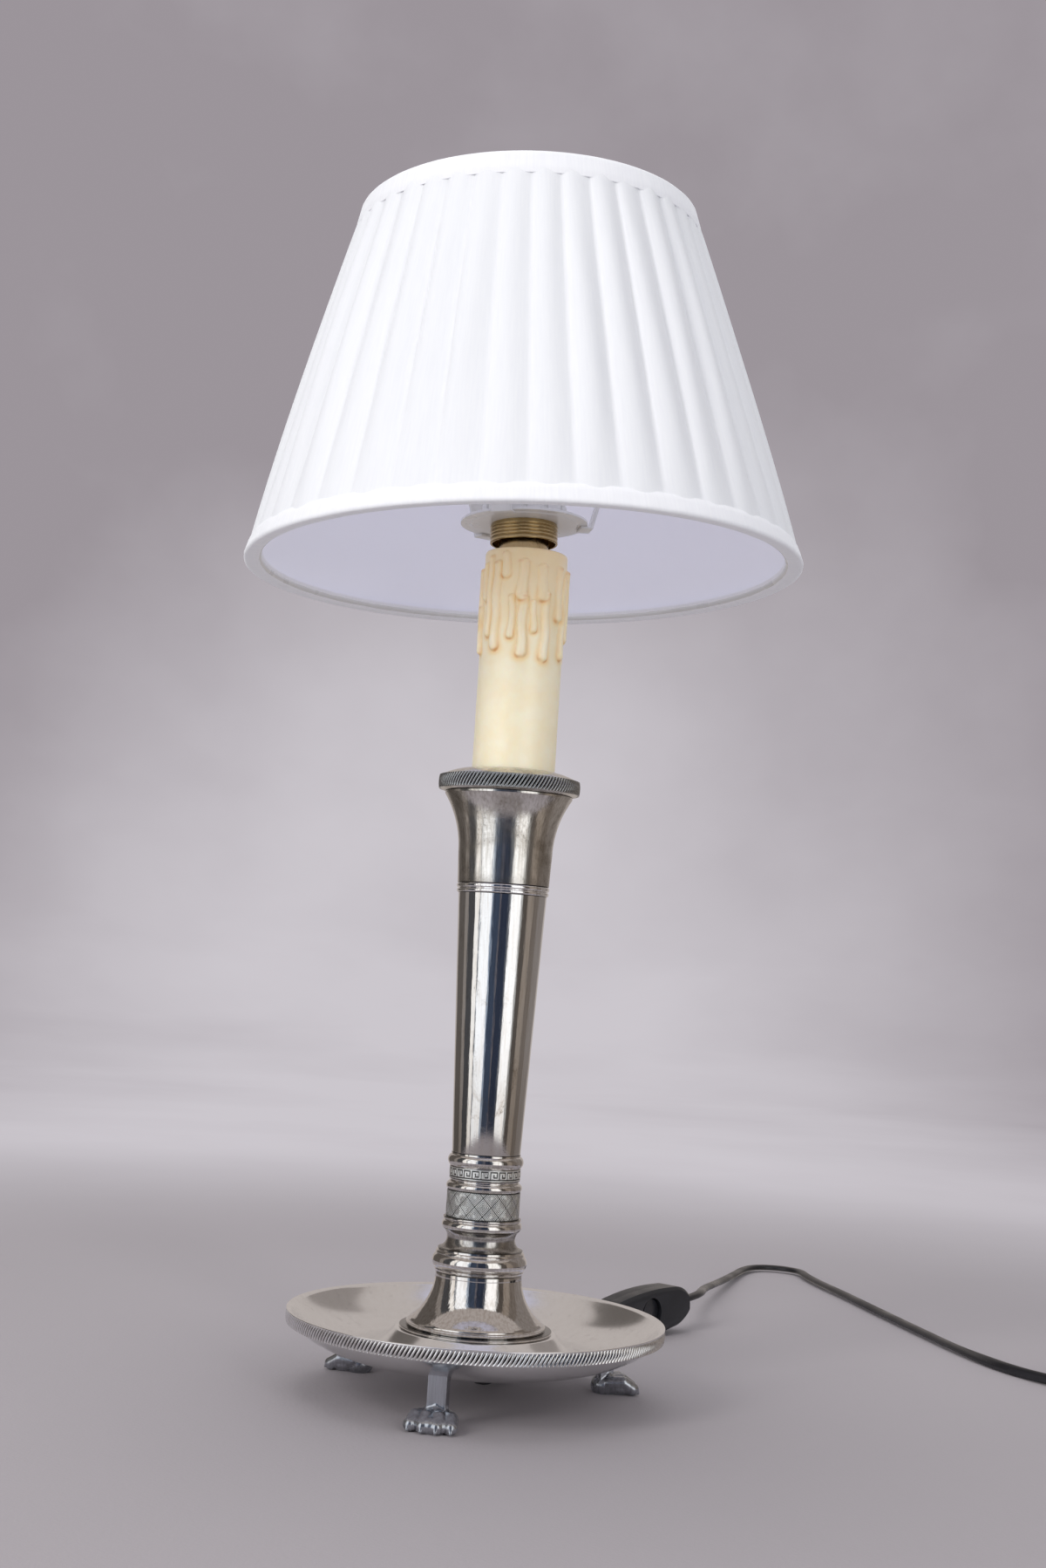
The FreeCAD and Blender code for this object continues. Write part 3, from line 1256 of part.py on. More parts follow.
def biarc(start, leaving, end, arriving):
    """Two tangent arcs between two points with given directions."""
    chord = end - start
    spread = leaving + arriving
    level = 2 * (1 - leaving.dot(arriving))
    along = chord.dot(spread)
    reach = (math.sqrt(along ** 2 + level * chord.dot(chord)) - along) / level
    middle = (start + leaving * reach + end - arriving * reach) / 2
    arcs = []
    for tail, direction, head in ((start, leaving, middle), (end, arriving * -1, middle)):
        across = head - tail
        angle = direction.getAngle(across)
        side = (across - direction * across.dot(direction)).normalize()
        radius = across.Length / (2 * math.sin(angle))
        centre = tail + side * radius
        bisector = ((tail - centre) + (head - centre)).normalize()
        points = (tail, centre + bisector * radius, head)
        arcs.append(Part.Arc(*(points if direction is leaving else points[::-1])).toShape())
    return arcs


def coil_shape():
    edges = [Part.LineSegment(coil_entry, coil_point(0)).toShape()]
    quarters = int(size("coil_turns") * 4)
    for quarter in range(quarters):
        start = quarter / 4
        end = (quarter + 1) / 4
        edges += biarc(coil_point(start), coil_direction(start), coil_point(end), coil_direction(end))
    edges.append(Part.LineSegment(coil_point(size("coil_turns")), coil_exit).toShape())
    path = Part.Wire(edges)
    tube = tube_along(path, coil_entry, coil_direction(0))
    ratio = tube.Volume / (path.Length * math.pi * flex ** 2)
    print("coil length", round(path.Length, 1), "volume ratio", round(ratio, 4))
    return tube, path.Length


lengths = [free_flex("lamp_flex", LAMP_ROUTE), free_flex("plug_flex", PLUG_ROUTE)]
coil, coil_length = coil_shape()
shaped("cord_coil", coil)
lengths.append(coil_length)
lengths.append(free_flex("plug_lead", LEAD_ROUTE))
print("flex outside the lamp, in all", round(sum(lengths), 1))

# The tie is a flat loop round all the turns.
TIE_INNER = "coil_middle_radius - coil_pitch * coil_turns / 4 - flex_radius - tie_clearance"
TIE_REACH = "coil_pitch * coil_turns / 2 + flex_radius * 2 + tie_clearance * 2"
TIE_FOOT = "coil_lift - tie_thickness - tie_play"
TIE_HEIGHT = "coil_pitch + flex_radius * 2 + (tie_thickness + tie_play) * 2"
tie_outer = block("tie_outer", (f"{TIE_INNER} - tie_thickness", "-tie_width / 2", TIE_FOOT),
                  f"{TIE_REACH} + tie_thickness * 2", "tie_width", TIE_HEIGHT)
tie_hole = block("tie_hole", (TIE_INNER, "-tie_width", f"{TIE_FOOT} + tie_thickness"),
                 TIE_REACH, "tie_width * 2", f"{TIE_HEIGHT} - tie_thickness * 2")
coil_tie = cut_away("coil_tie", tie_outer, tie_hole)
coil_tie.Placement = shift(coil_centre.x, coil_centre.y, 0) * turn((0, 0, 1), size("tie_azimuth"))
kept(coil_tie, "coil_tie")

# The plug lies flat beside the coil. Its own frame: X along its pins, from the end of its strain relief.
plug_heading = math.degrees(math.atan2(lead_end.y - coil_exit.y, lead_end.x - coil_exit.x))
PLUG = shift(lead_end.x, lead_end.y, lead_end.z) * turn((0, 0, 1), plug_heading)
plug_grip = document.addObject("PartDesign::Body", "plug_grip")
plug_sketch = new_sketch(plug_grip, "XY_Plane")
grip_half = [("relief_length", "relief_root_radius"),
             ("relief_length + plug_length * plug_neck_share", "relief_root_radius + plug_neck_flare"),
             ("relief_length + plug_length * plug_shoulder_share",
              "plug_half_width * plug_shoulder_width_share"),
             ("relief_length + plug_length * plug_waist_share", "plug_half_width"),
             ("relief_length + plug_length", "plug_half_width * plug_face_width_share")]
draw_outline(plug_sketch, [(along, f"-({half})", "0") for along, half in grip_half]
             + [(along, half, "0") for along, half in reversed(grip_half)])
add_pad(plug_grip, plug_sketch, "plug_half_thickness * 2", both_ways=True)
relief = document.addObject("Part::Cone", "plug_relief")
tie(relief, "Radius1", "relief_end_radius")
tie(relief, "Radius2", "relief_root_radius")
tie(relief, "Height", "relief_length + plug_length * relief_lap_share")
relief.Placement = turn((0, 1, 0), 90)
plug_body = joined("plug_body", [plug_grip, relief])
plug_body.Placement = PLUG
kept(plug_body, "plug_body")

pins = []
for side, spacing in (("right", "-plug_pin_spacing"), ("left", "plug_pin_spacing")):
    pin = cylinder(side + "_plug_pin", "plug_pin_radius", "plug_pin_length")
    pin.Placement = turn((0, 1, 0), 90)
    tie(pin, "Placement.Base.x", "relief_length + plug_length")
    tie(pin, "Placement.Base.y", spacing)
    pins.append(pin)
plug_pins = joined("plug_pins", pins)
plug_pins.Placement = PLUG
kept(plug_pins, "plug_pins")

# Check and write -----------------------------------------------------------------------------------

document.recompute()
faults = []
for thing in document.Objects:
    if "Invalid" in thing.State or "Error" in thing.State:
        faults.append(f"{thing.Name}: {thing.State}")
for node in NODES:
    if node.Shape.isNull() or not node.Shape.isValid() or not node.Shape.Solids:
        faults.append(f"{node.Label}: bad shape")
if faults:
    raise RuntimeError("; ".join(faults))

os.makedirs("parts", exist_ok=True)
for node in NODES:
    node.Shape.exportStep(f"parts/{node.Label}.step")
print(len(NODES), "nodes written")
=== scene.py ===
# %% [markdown]
# A candlestick table lamp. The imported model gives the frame: every piece at its real size, in metres, with
# the origin on the floor under the stem. This script keeps that frame and dresses it, piece by piece.

import bpy
import bmesh
import json
import math
import numpy as np
from mathutils import Matrix, Vector, noise


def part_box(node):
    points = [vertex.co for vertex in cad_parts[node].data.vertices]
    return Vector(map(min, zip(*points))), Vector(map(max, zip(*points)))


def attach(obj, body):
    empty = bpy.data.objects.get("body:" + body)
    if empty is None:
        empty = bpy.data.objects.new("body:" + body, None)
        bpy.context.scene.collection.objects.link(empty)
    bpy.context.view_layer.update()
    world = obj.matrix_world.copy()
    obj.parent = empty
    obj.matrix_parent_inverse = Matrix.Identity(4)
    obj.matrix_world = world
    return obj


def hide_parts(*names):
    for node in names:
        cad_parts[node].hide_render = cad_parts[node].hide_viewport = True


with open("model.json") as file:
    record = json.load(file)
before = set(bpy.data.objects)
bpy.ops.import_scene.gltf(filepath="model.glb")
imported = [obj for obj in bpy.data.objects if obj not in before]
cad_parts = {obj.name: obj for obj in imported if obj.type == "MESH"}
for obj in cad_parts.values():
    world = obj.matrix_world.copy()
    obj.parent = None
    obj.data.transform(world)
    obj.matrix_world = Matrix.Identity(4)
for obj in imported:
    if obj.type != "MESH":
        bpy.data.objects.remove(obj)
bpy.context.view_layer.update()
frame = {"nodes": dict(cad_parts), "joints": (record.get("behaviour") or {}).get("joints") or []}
MM = 0.001

# %% [markdown]
# Everything from the lampholder up leans a little. The hinge of the shade's ring holds that axis, so the
# leaning pieces are made upright, in millimetres above the pivot, and then tipped by one matrix.

# %% The leaning axis
HINGE = next(joint for joint in frame["joints"] if joint["name"] == "shade_turn")
PIVOT = Vector(HINGE["pos_m"])
TIP = Vector((0, 0, 1)).rotation_difference(Vector(HINGE["axis"])).to_matrix().to_4x4()
LEAN = Matrix.Translation(PIVOT) @ TIP
print("pivot", tuple(round(part, 4) for part in PIVOT))

# %% [markdown]
# The camera stands low in front of the lamp and looks up a little, as the photograph was taken. Its three
# angles turn it about the upright, about its own side, and about the line it looks along.

# %% The camera
def placed(name, data):
    """A new object of the scene, with this data."""
    thing = bpy.data.objects.new(name, data)
    bpy.context.scene.collection.objects.link(thing)
    return thing


CAMERA_PLACE = Vector((0, -0.8829, 0.1877))
CAMERA_YAW = -0.0067266
CAMERA_PITCH = 0.0886618
CAMERA_ROLL = -0.0625443
camera_data = bpy.data.cameras.new("viewpoint")
camera_data.lens = 45.9
camera_data.sensor_width = 36.0
camera = placed("viewpoint", camera_data)
aim = (Matrix.Rotation(CAMERA_YAW, 3, "Z") @ Matrix.Rotation(CAMERA_PITCH, 3, "X")
       @ Matrix.Rotation(CAMERA_ROLL, 3, "Y") @ Matrix.Rotation(math.pi / 2, 3, "X"))
camera.matrix_world = Matrix.Translation(CAMERA_PLACE) @ aim.to_4x4()
bpy.context.scene.camera = camera
bpy.context.scene.view_settings.view_transform = "Standard"

# %% [markdown]
# Finished pieces are plain meshes whose place is in their points. This helper hangs a mesh on its body,
# gives it a finish and hides the construction solids that it stands for.

# %% Dressing a body
def give_finish(mesh, finish):
    mesh.materials.clear()
    mesh.materials.append(finish)


def dressed(name, mesh, finish, slot, body, *nodes):
    mesh.name = name
    give_finish(mesh, finish)
    piece = placed(name, mesh)
    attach(piece, body)
    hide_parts(*nodes)
    return piece


def smooth(mesh, sharp_degrees=40):
    """Shade a mesh smoothly, apart from edges that turn more than this."""
    mesh.shade_smooth()
    mesh.set_sharp_from_angle(angle=math.radians(sharp_degrees))
    return mesh


# %% [markdown]
# A surface on the real lamp is never one flat colour. What several finishes share is built once as a group
# of shader nodes with named inputs: tarnish for the metals, weave for the cloths, handling for the plastics.
# Small helpers keep the node code short.

# %% Helpers for nodes
def fed(tree, inputs, values):
    """Give inputs their values, or link them to sockets, by the input's name or number."""
    for name, value in values.items():
        if isinstance(value, bpy.types.NodeSocket):
            tree.links.new(value, inputs[name])
        else:
            inputs[name].default_value = value


def put(tree, kind, inputs=(), **settings):
    """Add a node, with its settings and inputs."""
    made = tree.nodes.new(kind)
    for name, value in settings.items():
        setattr(made, name, value)
    fed(tree, made.inputs, dict(inputs))
    return made


def new_group(name, inputs, outputs):
    """A group of shader nodes: its tree, the values it is given, and where its results go."""
    tree = bpy.data.node_groups.new(name, "ShaderNodeTree")
    for way, labels in (("INPUT", inputs), ("OUTPUT", outputs)):
        for label in labels:
            kind = "NodeSocketVector" if label == "Vector" else "NodeSocketFloat"
            tree.interface.new_socket(label, in_out=way, socket_type=kind)
    return tree, tree.nodes.new("NodeGroupInput").outputs, tree.nodes.new("NodeGroupOutput").inputs


def grouped(tree, group, inputs):
    return put(tree, "ShaderNodeGroup", inputs, node_tree=group).outputs


def new_material(name):
    material = bpy.data.materials.new(name)
    material.use_nodes = True
    tree = material.node_tree
    return material, tree, tree.nodes["Principled BSDF"]


# %% Helpers for places, numbers and colours
def object_place(tree):
    return put(tree, "ShaderNodeTexCoord").outputs["Object"]


def stretched(tree, place, *scale):
    return put(tree, "ShaderNodeMapping", {"Vector": place, "Scale": scale}).outputs["Vector"]


def stored(tree, attribute):
    """A number that the mesh holds at its points."""
    return put(tree, "ShaderNodeAttribute", attribute_name=attribute).outputs["Fac"]


def worked(tree, operation, *values):
    """A number worked out from one or more others."""
    return put(tree, "ShaderNodeMath", enumerate(values), operation=operation).outputs[0]


def noisy(tree, place, scale, detail):
    return put(tree, "ShaderNodeTexNoise", {"Vector": place, "Scale": scale, "Detail": detail}).outputs["Fac"]


def mixed(tree, share, low, high):
    """A colour between two, by a share from 0 to 1."""
    return put(tree, "ShaderNodeMix", {0: share, 6: low, 7: high}, data_type="RGBA").outputs[2]


def ramped(tree, value, start, end, low=0.0, high=1.0):
    """A number that climbs from low to high as the value goes from start to end."""
    return put(tree, "ShaderNodeMapRange", {"Value": value, "From Min": start, "From Max": end,
                                            "To Min": low, "To Max": high}).outputs["Result"]


def eased_range(tree, value, start, end):
    """The same from 0 to 1, with a slow start and a slow end."""
    return put(tree, "ShaderNodeMapRange", {"Value": value, "From Min": start, "From Max": end},
               interpolation_type="SMOOTHSTEP").outputs["Result"]


def bumped(tree, shader, height, distance, strength=1.0):
    bump = put(tree, "ShaderNodeBump", {"Height": height, "Distance": distance, "Strength": strength})
    tree.links.new(bump.outputs["Normal"], shader.inputs["Normal"])


# %% Tarnish: clouds of brown film, pits in it and fine wipe marks
def tarnish_group():
    tree, given, result = new_group("tarnish", ("Vector", "Scale", "Amount"),
                                    ("Film", "Pits", "Marks", "Height"))
    clouds = put(tree, "ShaderNodeTexNoise", {"Vector": given["Vector"], "Scale": given["Scale"], "Detail": 6.0,
                                              "Roughness": 0.65, "Distortion": 0.6}).outputs["Fac"]
    film = eased_range(tree, clouds, worked(tree, "MULTIPLY_ADD", given["Amount"], -0.42, 0.72), 0.78)
    fine = worked(tree, "MULTIPLY", given["Scale"], 26.0)
    specks = ramped(tree, noisy(tree, given["Vector"], fine, 2.0), 0.60, 0.70)
    pits = worked(tree, "MULTIPLY", specks, worked(tree, "MULTIPLY_ADD", film, 0.85, 0.08))
    marks = noisy(tree, stretched(tree, given["Vector"], 1.0, 1.0, 0.05), fine, 3.0)
    height = worked(tree, "MULTIPLY_ADD", pits, -1.0, marks)
    fed(tree, result, {"Film": film, "Pits": pits, "Marks": marks, "Height": height})
    return tree


TARNISH = tarnish_group()


# %% Weave: threads that pass over and under, on the cloth's own map in metres
def weave_group():
    tree, given, result = new_group("weave", ("Vector", "Threads"), ("Height", "Slub"))
    warp, weft = (put(tree, "ShaderNodeTexWave", {"Vector": given["Vector"], "Scale": given["Threads"],
                                                  "Distortion": 0.4, "Detail": 1.0},
                      bands_direction=direction).outputs["Fac"] for direction in "XY")
    slub = noisy(tree, stretched(tree, given["Vector"], 1.0, 0.06, 1.0), 900.0, 3.0)
    height = worked(tree, "MULTIPLY_ADD", worked(tree, "MAXIMUM", warp, weft), 0.6, slub)
    fed(tree, result, {"Height": height, "Slub": slub})
    return tree


WEAVE = weave_group()


# %% Handling: dust, rubbed patches and the faint skin of a moulded surface
def handling_group():
    tree, given, result = new_group("handling", ("Vector", "Scale"), ("Dust", "Rubbed", "Height"))
    patches = noisy(tree, given["Vector"], given["Scale"], 4.0)
    grain = noisy(tree, given["Vector"], worked(tree, "MULTIPLY", given["Scale"], 30.0), 2.0)
    dust = worked(tree, "MULTIPLY", ramped(tree, grain, 0.62, 0.72), ramped(tree, patches, 0.4, 0.7))
    fed(tree, result, {"Dust": dust, "Rubbed": ramped(tree, patches, 0.35, 0.65), "Height": grain})
    return tree


HANDLING = handling_group()


# %% [markdown]
# The stem is brass with a worn coat of silver. Polished silver takes its look from what it reflects, so its
# finish is mostly metal with low roughness; warm brown film spreads where hands and cloths don't reach, and
# the struck patterns are dark in their recesses, with dirt and painted shade, by an attribute called relief
# that the pieces store.

# %% Silver plate
POLISHED = (0.90, 0.90, 0.905, 1)
BROWN_FILM = (0.37, 0.315, 0.26, 1)
RECESS_DIRT_AND_SHADE = (0.075, 0.068, 0.06, 1)
# Brown film gathers low on the stem: how high it starts to show, and where it is full, in metres.
FILM_STARTS = 0.165
FILM_FULL = 0.105


def silver_plate(name, amount, roughness, polish=POLISHED, film=BROWN_FILM, dirt_and_shade=RECESS_DIRT_AND_SHADE, recesses=False,
                 undarkened_from=0.8, wipes=0.00003, wiped=0.5, draw_marks=0.0, low_film=0.0, scale=38.0):
    material, tree, shader = new_material(name)
    place = object_place(tree)
    worn = grouped(tree, TARNISH, {"Vector": place, "Scale": scale, "Amount": amount})
    drawn = mixed(tree, ramped(tree, worn["Marks"], 0.4, 0.75, 0.0, wiped), polish, film)
    height = put(tree, "ShaderNodeSeparateXYZ", {0: place}).outputs["Z"]
    lower = worked(tree, "MULTIPLY_ADD", eased_range(tree, height, FILM_STARTS, FILM_FULL), low_film, worn["Film"])
    colour = mixed(tree, lower, drawn, film)
    colour = mixed(tree, ramped(tree, worn["Pits"], 0.0, 1.0, 0.0, 0.8), colour, RECESS_DIRT_AND_SHADE)
    # Recesses darken by the stored relief: dirt, with painted shade where the relief is too fine to shade itself.
    if recesses:
        uneven = worked(tree, "MULTIPLY_ADD", worn["Marks"], 0.3, stored(tree, "relief"))
        colour = mixed(tree, ramped(tree, uneven, 0.25, undarkened_from), dirt_and_shade, colour)
    rough = worked(tree, "MULTIPLY_ADD", worn["Film"], 0.22, roughness)
    fed(tree, shader.inputs, {"Base Color": colour, "Roughness": rough, "Metallic": 1.0})
    marks = noisy(tree, stretched(tree, place, 1.0, 1.0, 0.02), 700.0, 3.0)
    bumped(tree, shader, worked(tree, "MULTIPLY_ADD", marks, draw_marks, worn["Height"]), wipes)
    return material


SILVER_STEM = silver_plate("silver_stem", 0.34, 0.07, recesses=True, draw_marks=0.8, low_film=0.4)
SILVER_CUP = silver_plate("silver_cup", 0.9, 0.14, polish=(0.76, 0.74, 0.71, 1), film=(0.25, 0.215, 0.17, 1),
                          recesses=True, draw_marks=0.4)
SILVER_DISH = silver_plate("silver_dish", 0.12, 0.17, film=(0.50, 0.44, 0.37, 1), wipes=0.000002, wiped=0.06,
                           scale=12.0)
SILVER_NECK = silver_plate("silver_neck", 0.9, 0.15, polish=(0.56, 0.54, 0.52, 1), film=(0.17, 0.15, 0.13, 1),
                           recesses=True)
# The flutes' grooves and the struck pattern's lines are darkened: dirt and painted shade.
SILVER_FLUTES = silver_plate("silver_flutes", 0.2, 0.22, dirt_and_shade=(0.03, 0.03, 0.03, 1), recesses=True,
                             undarkened_from=1.0)
DULL_GREY = (0.42, 0.43, 0.44, 1)
PAN_FLUTES = silver_plate("pan_flutes", 0.5, 0.24, polish=DULL_GREY, film=(0.18, 0.175, 0.17, 1),
                          dirt_and_shade=(0.012, 0.012, 0.012, 1), recesses=True, undarkened_from=1.05)
FROSTED = (0.90, 0.91, 0.89, 1)
FROST_SHADOW = (0.06, 0.062, 0.06, 1)
SILVER_PATTERN = silver_plate("silver_pattern", 0.15, 0.42, polish=FROSTED, film=(0.6, 0.59, 0.56, 1),
                              dirt_and_shade=FROST_SHADOW, recesses=True)
STEEL_GREY = (0.50, 0.52, 0.56, 1)
SILVER_PAWS = silver_plate("silver_paws", 0.5, 0.27, polish=STEEL_GREY, film=(0.17, 0.17, 0.18, 1))

# %% Brass, steel and cap metal use the same tarnish with their own colours
def plain_metal(name, bright, dull, amount, roughness, scale=90.0):
    return silver_plate(name, amount, roughness, polish=bright, film=dull, scale=scale)


AGED_BRASS = plain_metal("aged_brass", (0.50, 0.37, 0.18, 1), (0.22, 0.15, 0.065, 1), 0.45, 0.2, scale=160.0)
BRIGHT_BRASS = plain_metal("bright_brass", (0.80, 0.60, 0.28, 1), (0.45, 0.30, 0.12, 1), 0.4, 0.2)
ZINC_STEEL = plain_metal("zinc_steel", (0.62, 0.62, 0.63, 1), (0.30, 0.29, 0.28, 1), 0.45, 0.33)
CAP_METAL = plain_metal("cap_metal", (0.78, 0.77, 0.74, 1), (0.5, 0.48, 0.44, 1), 0.3, 0.3)


# %% [markdown]
# The candle sleeve is cardboard dipped in wax-coloured enamel. Its drips were piped on and then brushed
# with an orange-brown stain that stayed along their edges and tips; the mesh stores that as wax_stain.

# %% Wax
WAX_CREAM = (0.95, 0.88, 0.68, 1)
WAX_DEEP_CREAM = (0.92, 0.82, 0.58, 1)
WAX_HONEY = (0.90, 0.63, 0.27, 1)
WAX_STAIN = (0.66, 0.26, 0.05, 1)


def candle_wax():
    material, tree, shader = new_material("candle_wax")
    place = object_place(tree)
    clouds = noisy(tree, place, 120.0, 4.0)
    cream = mixed(tree, ramped(tree, clouds, 0.35, 0.7), WAX_CREAM, WAX_DEEP_CREAM)
    honey = mixed(tree, stored(tree, "wax_warm"), cream, WAX_HONEY)
    patchy = worked(tree, "MULTIPLY", stored(tree, "wax_stain"), ramped(tree, clouds, 0.3, 0.55, 0.45, 1.0))
    # The wax glows a little, warm: painted light that brightens it.
    fed(tree, shader.inputs, {
        "Base Color": mixed(tree, patchy, honey, WAX_STAIN), "Roughness": 0.42, "Subsurface Weight": 0.25,
        "Subsurface Radius": (1.0, 0.6, 0.3), "Subsurface Scale": 0.002, "Emission Color": (1.0, 0.76, 0.38, 1),
        "Emission Strength": 0.09, "Coat Weight": 0.45, "Coat Roughness": 0.27})
    bumped(tree, shader, noisy(tree, place, 700.0, 3.0), 0.00012)
    return material


CANDLE_WAX = candle_wax()


# %% Cloths: white pleated cotton, its lining and the trimming tape
def cloth(name, colour, shadow, threads, through=None):
    """A woven finish. Through is the light that comes through a thin cloth from its other side."""
    material, tree, shader = new_material(name)
    place = put(tree, "ShaderNodeUVMap").outputs["UV"]
    woven = grouped(tree, WEAVE, {"Vector": place, "Threads": threads})
    fed(tree, shader.inputs, {
        "Base Color": mixed(tree, ramped(tree, woven["Slub"], 0.3, 0.7), shadow, colour), "Roughness": 0.9,
        "Sheen Weight": 0.25, "Sheen Roughness": 0.5, "Specular IOR Level": 0.2})
    if through:
        fed(tree, shader.inputs, {"Emission Color": through, "Emission Strength": 1.0})
    bumped(tree, shader, woven["Height"], 0.00008, 0.6)
    return material


PLEATED_COTTON = cloth("pleated_cotton", (0.93, 0.935, 0.95, 1), (0.90, 0.905, 0.93, 1), 1300.0)
LIGHT_THROUGH_CLOTH = (0.155, 0.155, 0.19, 1)
LINING = cloth("lining", (0.86, 0.86, 0.915, 1), (0.84, 0.84, 0.90, 1), 1500.0, through=LIGHT_THROUGH_CLOTH)
TAPE = cloth("tape", (0.93, 0.93, 0.94, 1), (0.88, 0.88, 0.90, 1), 1100.0, through=(0.06, 0.06, 0.07, 1))


# %% Plastics, enamel and glass
RUBBED_DULL = 0.15
SKIN_DEPTH = 0.00003


def moulded(name, colour, dusty, roughness, coat=0.0, scale=60.0):
    material, tree, shader = new_material(name)
    handled = grouped(tree, HANDLING, {"Vector": object_place(tree), "Scale": scale})
    dust = ramped(tree, handled["Dust"], 0.0, 1.0, 0.0, 0.6)
    rough = ramped(tree, handled["Rubbed"], 0.0, 1.0, roughness, roughness + RUBBED_DULL)
    fed(tree, shader.inputs, {"Base Color": mixed(tree, dust, colour, dusty), "Roughness": rough,
                              "Coat Weight": coat})
    bumped(tree, shader, handled["Height"], SKIN_DEPTH)
    return material


BLACK_PLASTIC = moulded("black_plastic", (0.016, 0.017, 0.021, 1), (0.10, 0.10, 0.11, 1), 0.3)
BLACK_FLEX = moulded("black_flex", (0.013, 0.013, 0.016, 1), (0.09, 0.09, 0.10, 1), 0.27, scale=40.0)
WHITE_ENAMEL = moulded("white_enamel", (0.80, 0.80, 0.79, 1), (0.62, 0.61, 0.58, 1), 0.25, coat=0.3)
WHITE_PLASTIC = moulded("white_plastic", (0.78, 0.78, 0.76, 1), (0.6, 0.59, 0.56, 1), 0.35)
PHENOLIC = moulded("phenolic", (0.035, 0.02, 0.014, 1), (0.12, 0.10, 0.09, 1), 0.3)
OPAL_GLASS = moulded("opal_glass", (0.88, 0.88, 0.87, 1), (0.75, 0.74, 0.72, 1), 0.12, coat=0.6)
print("finishes", len(bpy.data.materials))

# %% [markdown]
# The flex is a flat twin cord that comes out from under the dish. It is one length of something limp, so its
# line is a smooth spline through few points. It leaves the bush under the dish, rises to the switch on the
# floor behind, and runs on to the right. What the picture doesn't show is coiled there, with its plug, in the
# length that such a lamp has.

# %% The cord's routes, in millimetres, as the construction has them
FLEX_WIDTH = 5.2
FLEX_THICKNESS = 3.5
FLOOR_REST = 2.7
SWITCH_PLACE = Vector((84.5, 166.0, 12.4))
SWITCH_HEADING = math.radians(48)
SWITCH_CLIMB = math.radians(5)
SWITCH_HALF_LENGTH = 34.0
SWITCH = (Matrix.Translation(SWITCH_PLACE) @ Matrix.Rotation(SWITCH_HEADING, 4, "Z")
          @ Matrix.Rotation(-SWITCH_CLIMB, 4, "Y"))
inlet = SWITCH @ Vector((-SWITCH_HALF_LENGTH, 0, 0))
outlet = SWITCH @ Vector((SWITCH_HALF_LENGTH, 0, 0))
along_switch = (outlet - inlet).normalized()
SWITCH_RELIEF = 9
LAMP_ROUTE = [(0, 0, 19.6), (0, 0, 12.6), (1.6, 5.6, 6.4), (4.6, 14.6, 3.3), (9.5, 28, FLOOR_REST),
              (18, 54, FLOOR_REST), (30, 87, FLOOR_REST), (41, 112, 3.4), (49, 126.5, 6.2),
              inlet - along_switch * SWITCH_RELIEF, inlet]
COIL_CENTRE = Vector((325, 103, 0))
COIL_LOW = 3.5
COIL_RADIUS = 28.5
COIL_PITCH = 5.8
COIL_TURNS = 5
COIL_START = math.radians(225)
POINTS_A_TURN = 16


def clamped(share):
    return min(1.0, max(0.0, share))


def swung(radius, angle, height):
    """A place at a distance from the upright, at an angle round it and at a height."""
    return Vector((radius * math.cos(angle), radius * math.sin(angle), height))


def coil_point(turns):
    """The coil spirals in, climbs one layer in half a turn and spirals out again."""
    radius = COIL_RADIUS + COIL_PITCH * (abs(turns - COIL_TURNS / 2) - COIL_TURNS / 4)
    climb = clamped((turns - COIL_TURNS / 2) * 2 + 0.5)
    angle = COIL_START + 2 * math.pi * turns
    height = COIL_LOW + COIL_PITCH * (1 - math.cos(math.pi * climb)) / 2
    return COIL_CENTRE + swung(radius, angle, height)


def coil_direction(turns):
    return (coil_point(turns + 1e-4) - coil_point(turns - 1e-4)).normalized()


coil_entry = coil_point(0) - coil_direction(0) * FLEX_WIDTH
coil_exit = coil_point(COIL_TURNS) + coil_direction(COIL_TURNS) * FLEX_WIDTH
lead_way = Vector((*coil_direction(COIL_TURNS).xy, 0)).normalized()
PLUG_HALF_THICKNESS = 6.85
LEAD_LENGTH = 20
lead_end = coil_exit + lead_way * LEAD_LENGTH
lead_end.z = PLUG_HALF_THICKNESS
coil_steps = [coil_point(step / POINTS_A_TURN) for step in range(COIL_TURNS * POINTS_A_TURN + 1)]
ON_THE_FLOOR = [(166.3, 402.2), (173.8, 415.2), (182.2, 420), (191.8, 420), (200.2, 415.2), (205, 406.8),
                (205.6, 390), (210.5, 362), (218.5, 328), (228.5, 276), (240, 219), (251.5, 164), (262.5, 127)]
PLUG_ROUTE = [outlet, outlet + along_switch * SWITCH_RELIEF, (119.5, 212, 16.2), (123, 235, 14.2),
              (128.5, 267, 11), (138, 305, 7.6), (149, 345, 4.8), (159.5, 381, 3.1),
              *[(*place, FLOOR_REST) for place in ON_THE_FLOOR], (276, 104, 2.9),
              coil_entry - coil_direction(0) * 14, coil_entry, *coil_steps, coil_exit,
              coil_exit + coil_direction(COIL_TURNS) * 5, lead_end - lead_way * 6, lead_end]


# %% A flat tube that follows a spline
def baked(thing):
    """What an object's modifiers or its spline make, as a plain mesh. The object itself is then removed."""
    mesh = bpy.data.meshes.new_from_object(thing.evaluated_get(bpy.context.evaluated_depsgraph_get()))
    bpy.data.objects.remove(thing)
    return mesh


def meshed(name, verts, faces):
    mesh = bpy.data.meshes.new(name)
    mesh.from_pydata(verts, [], faces)
    return mesh


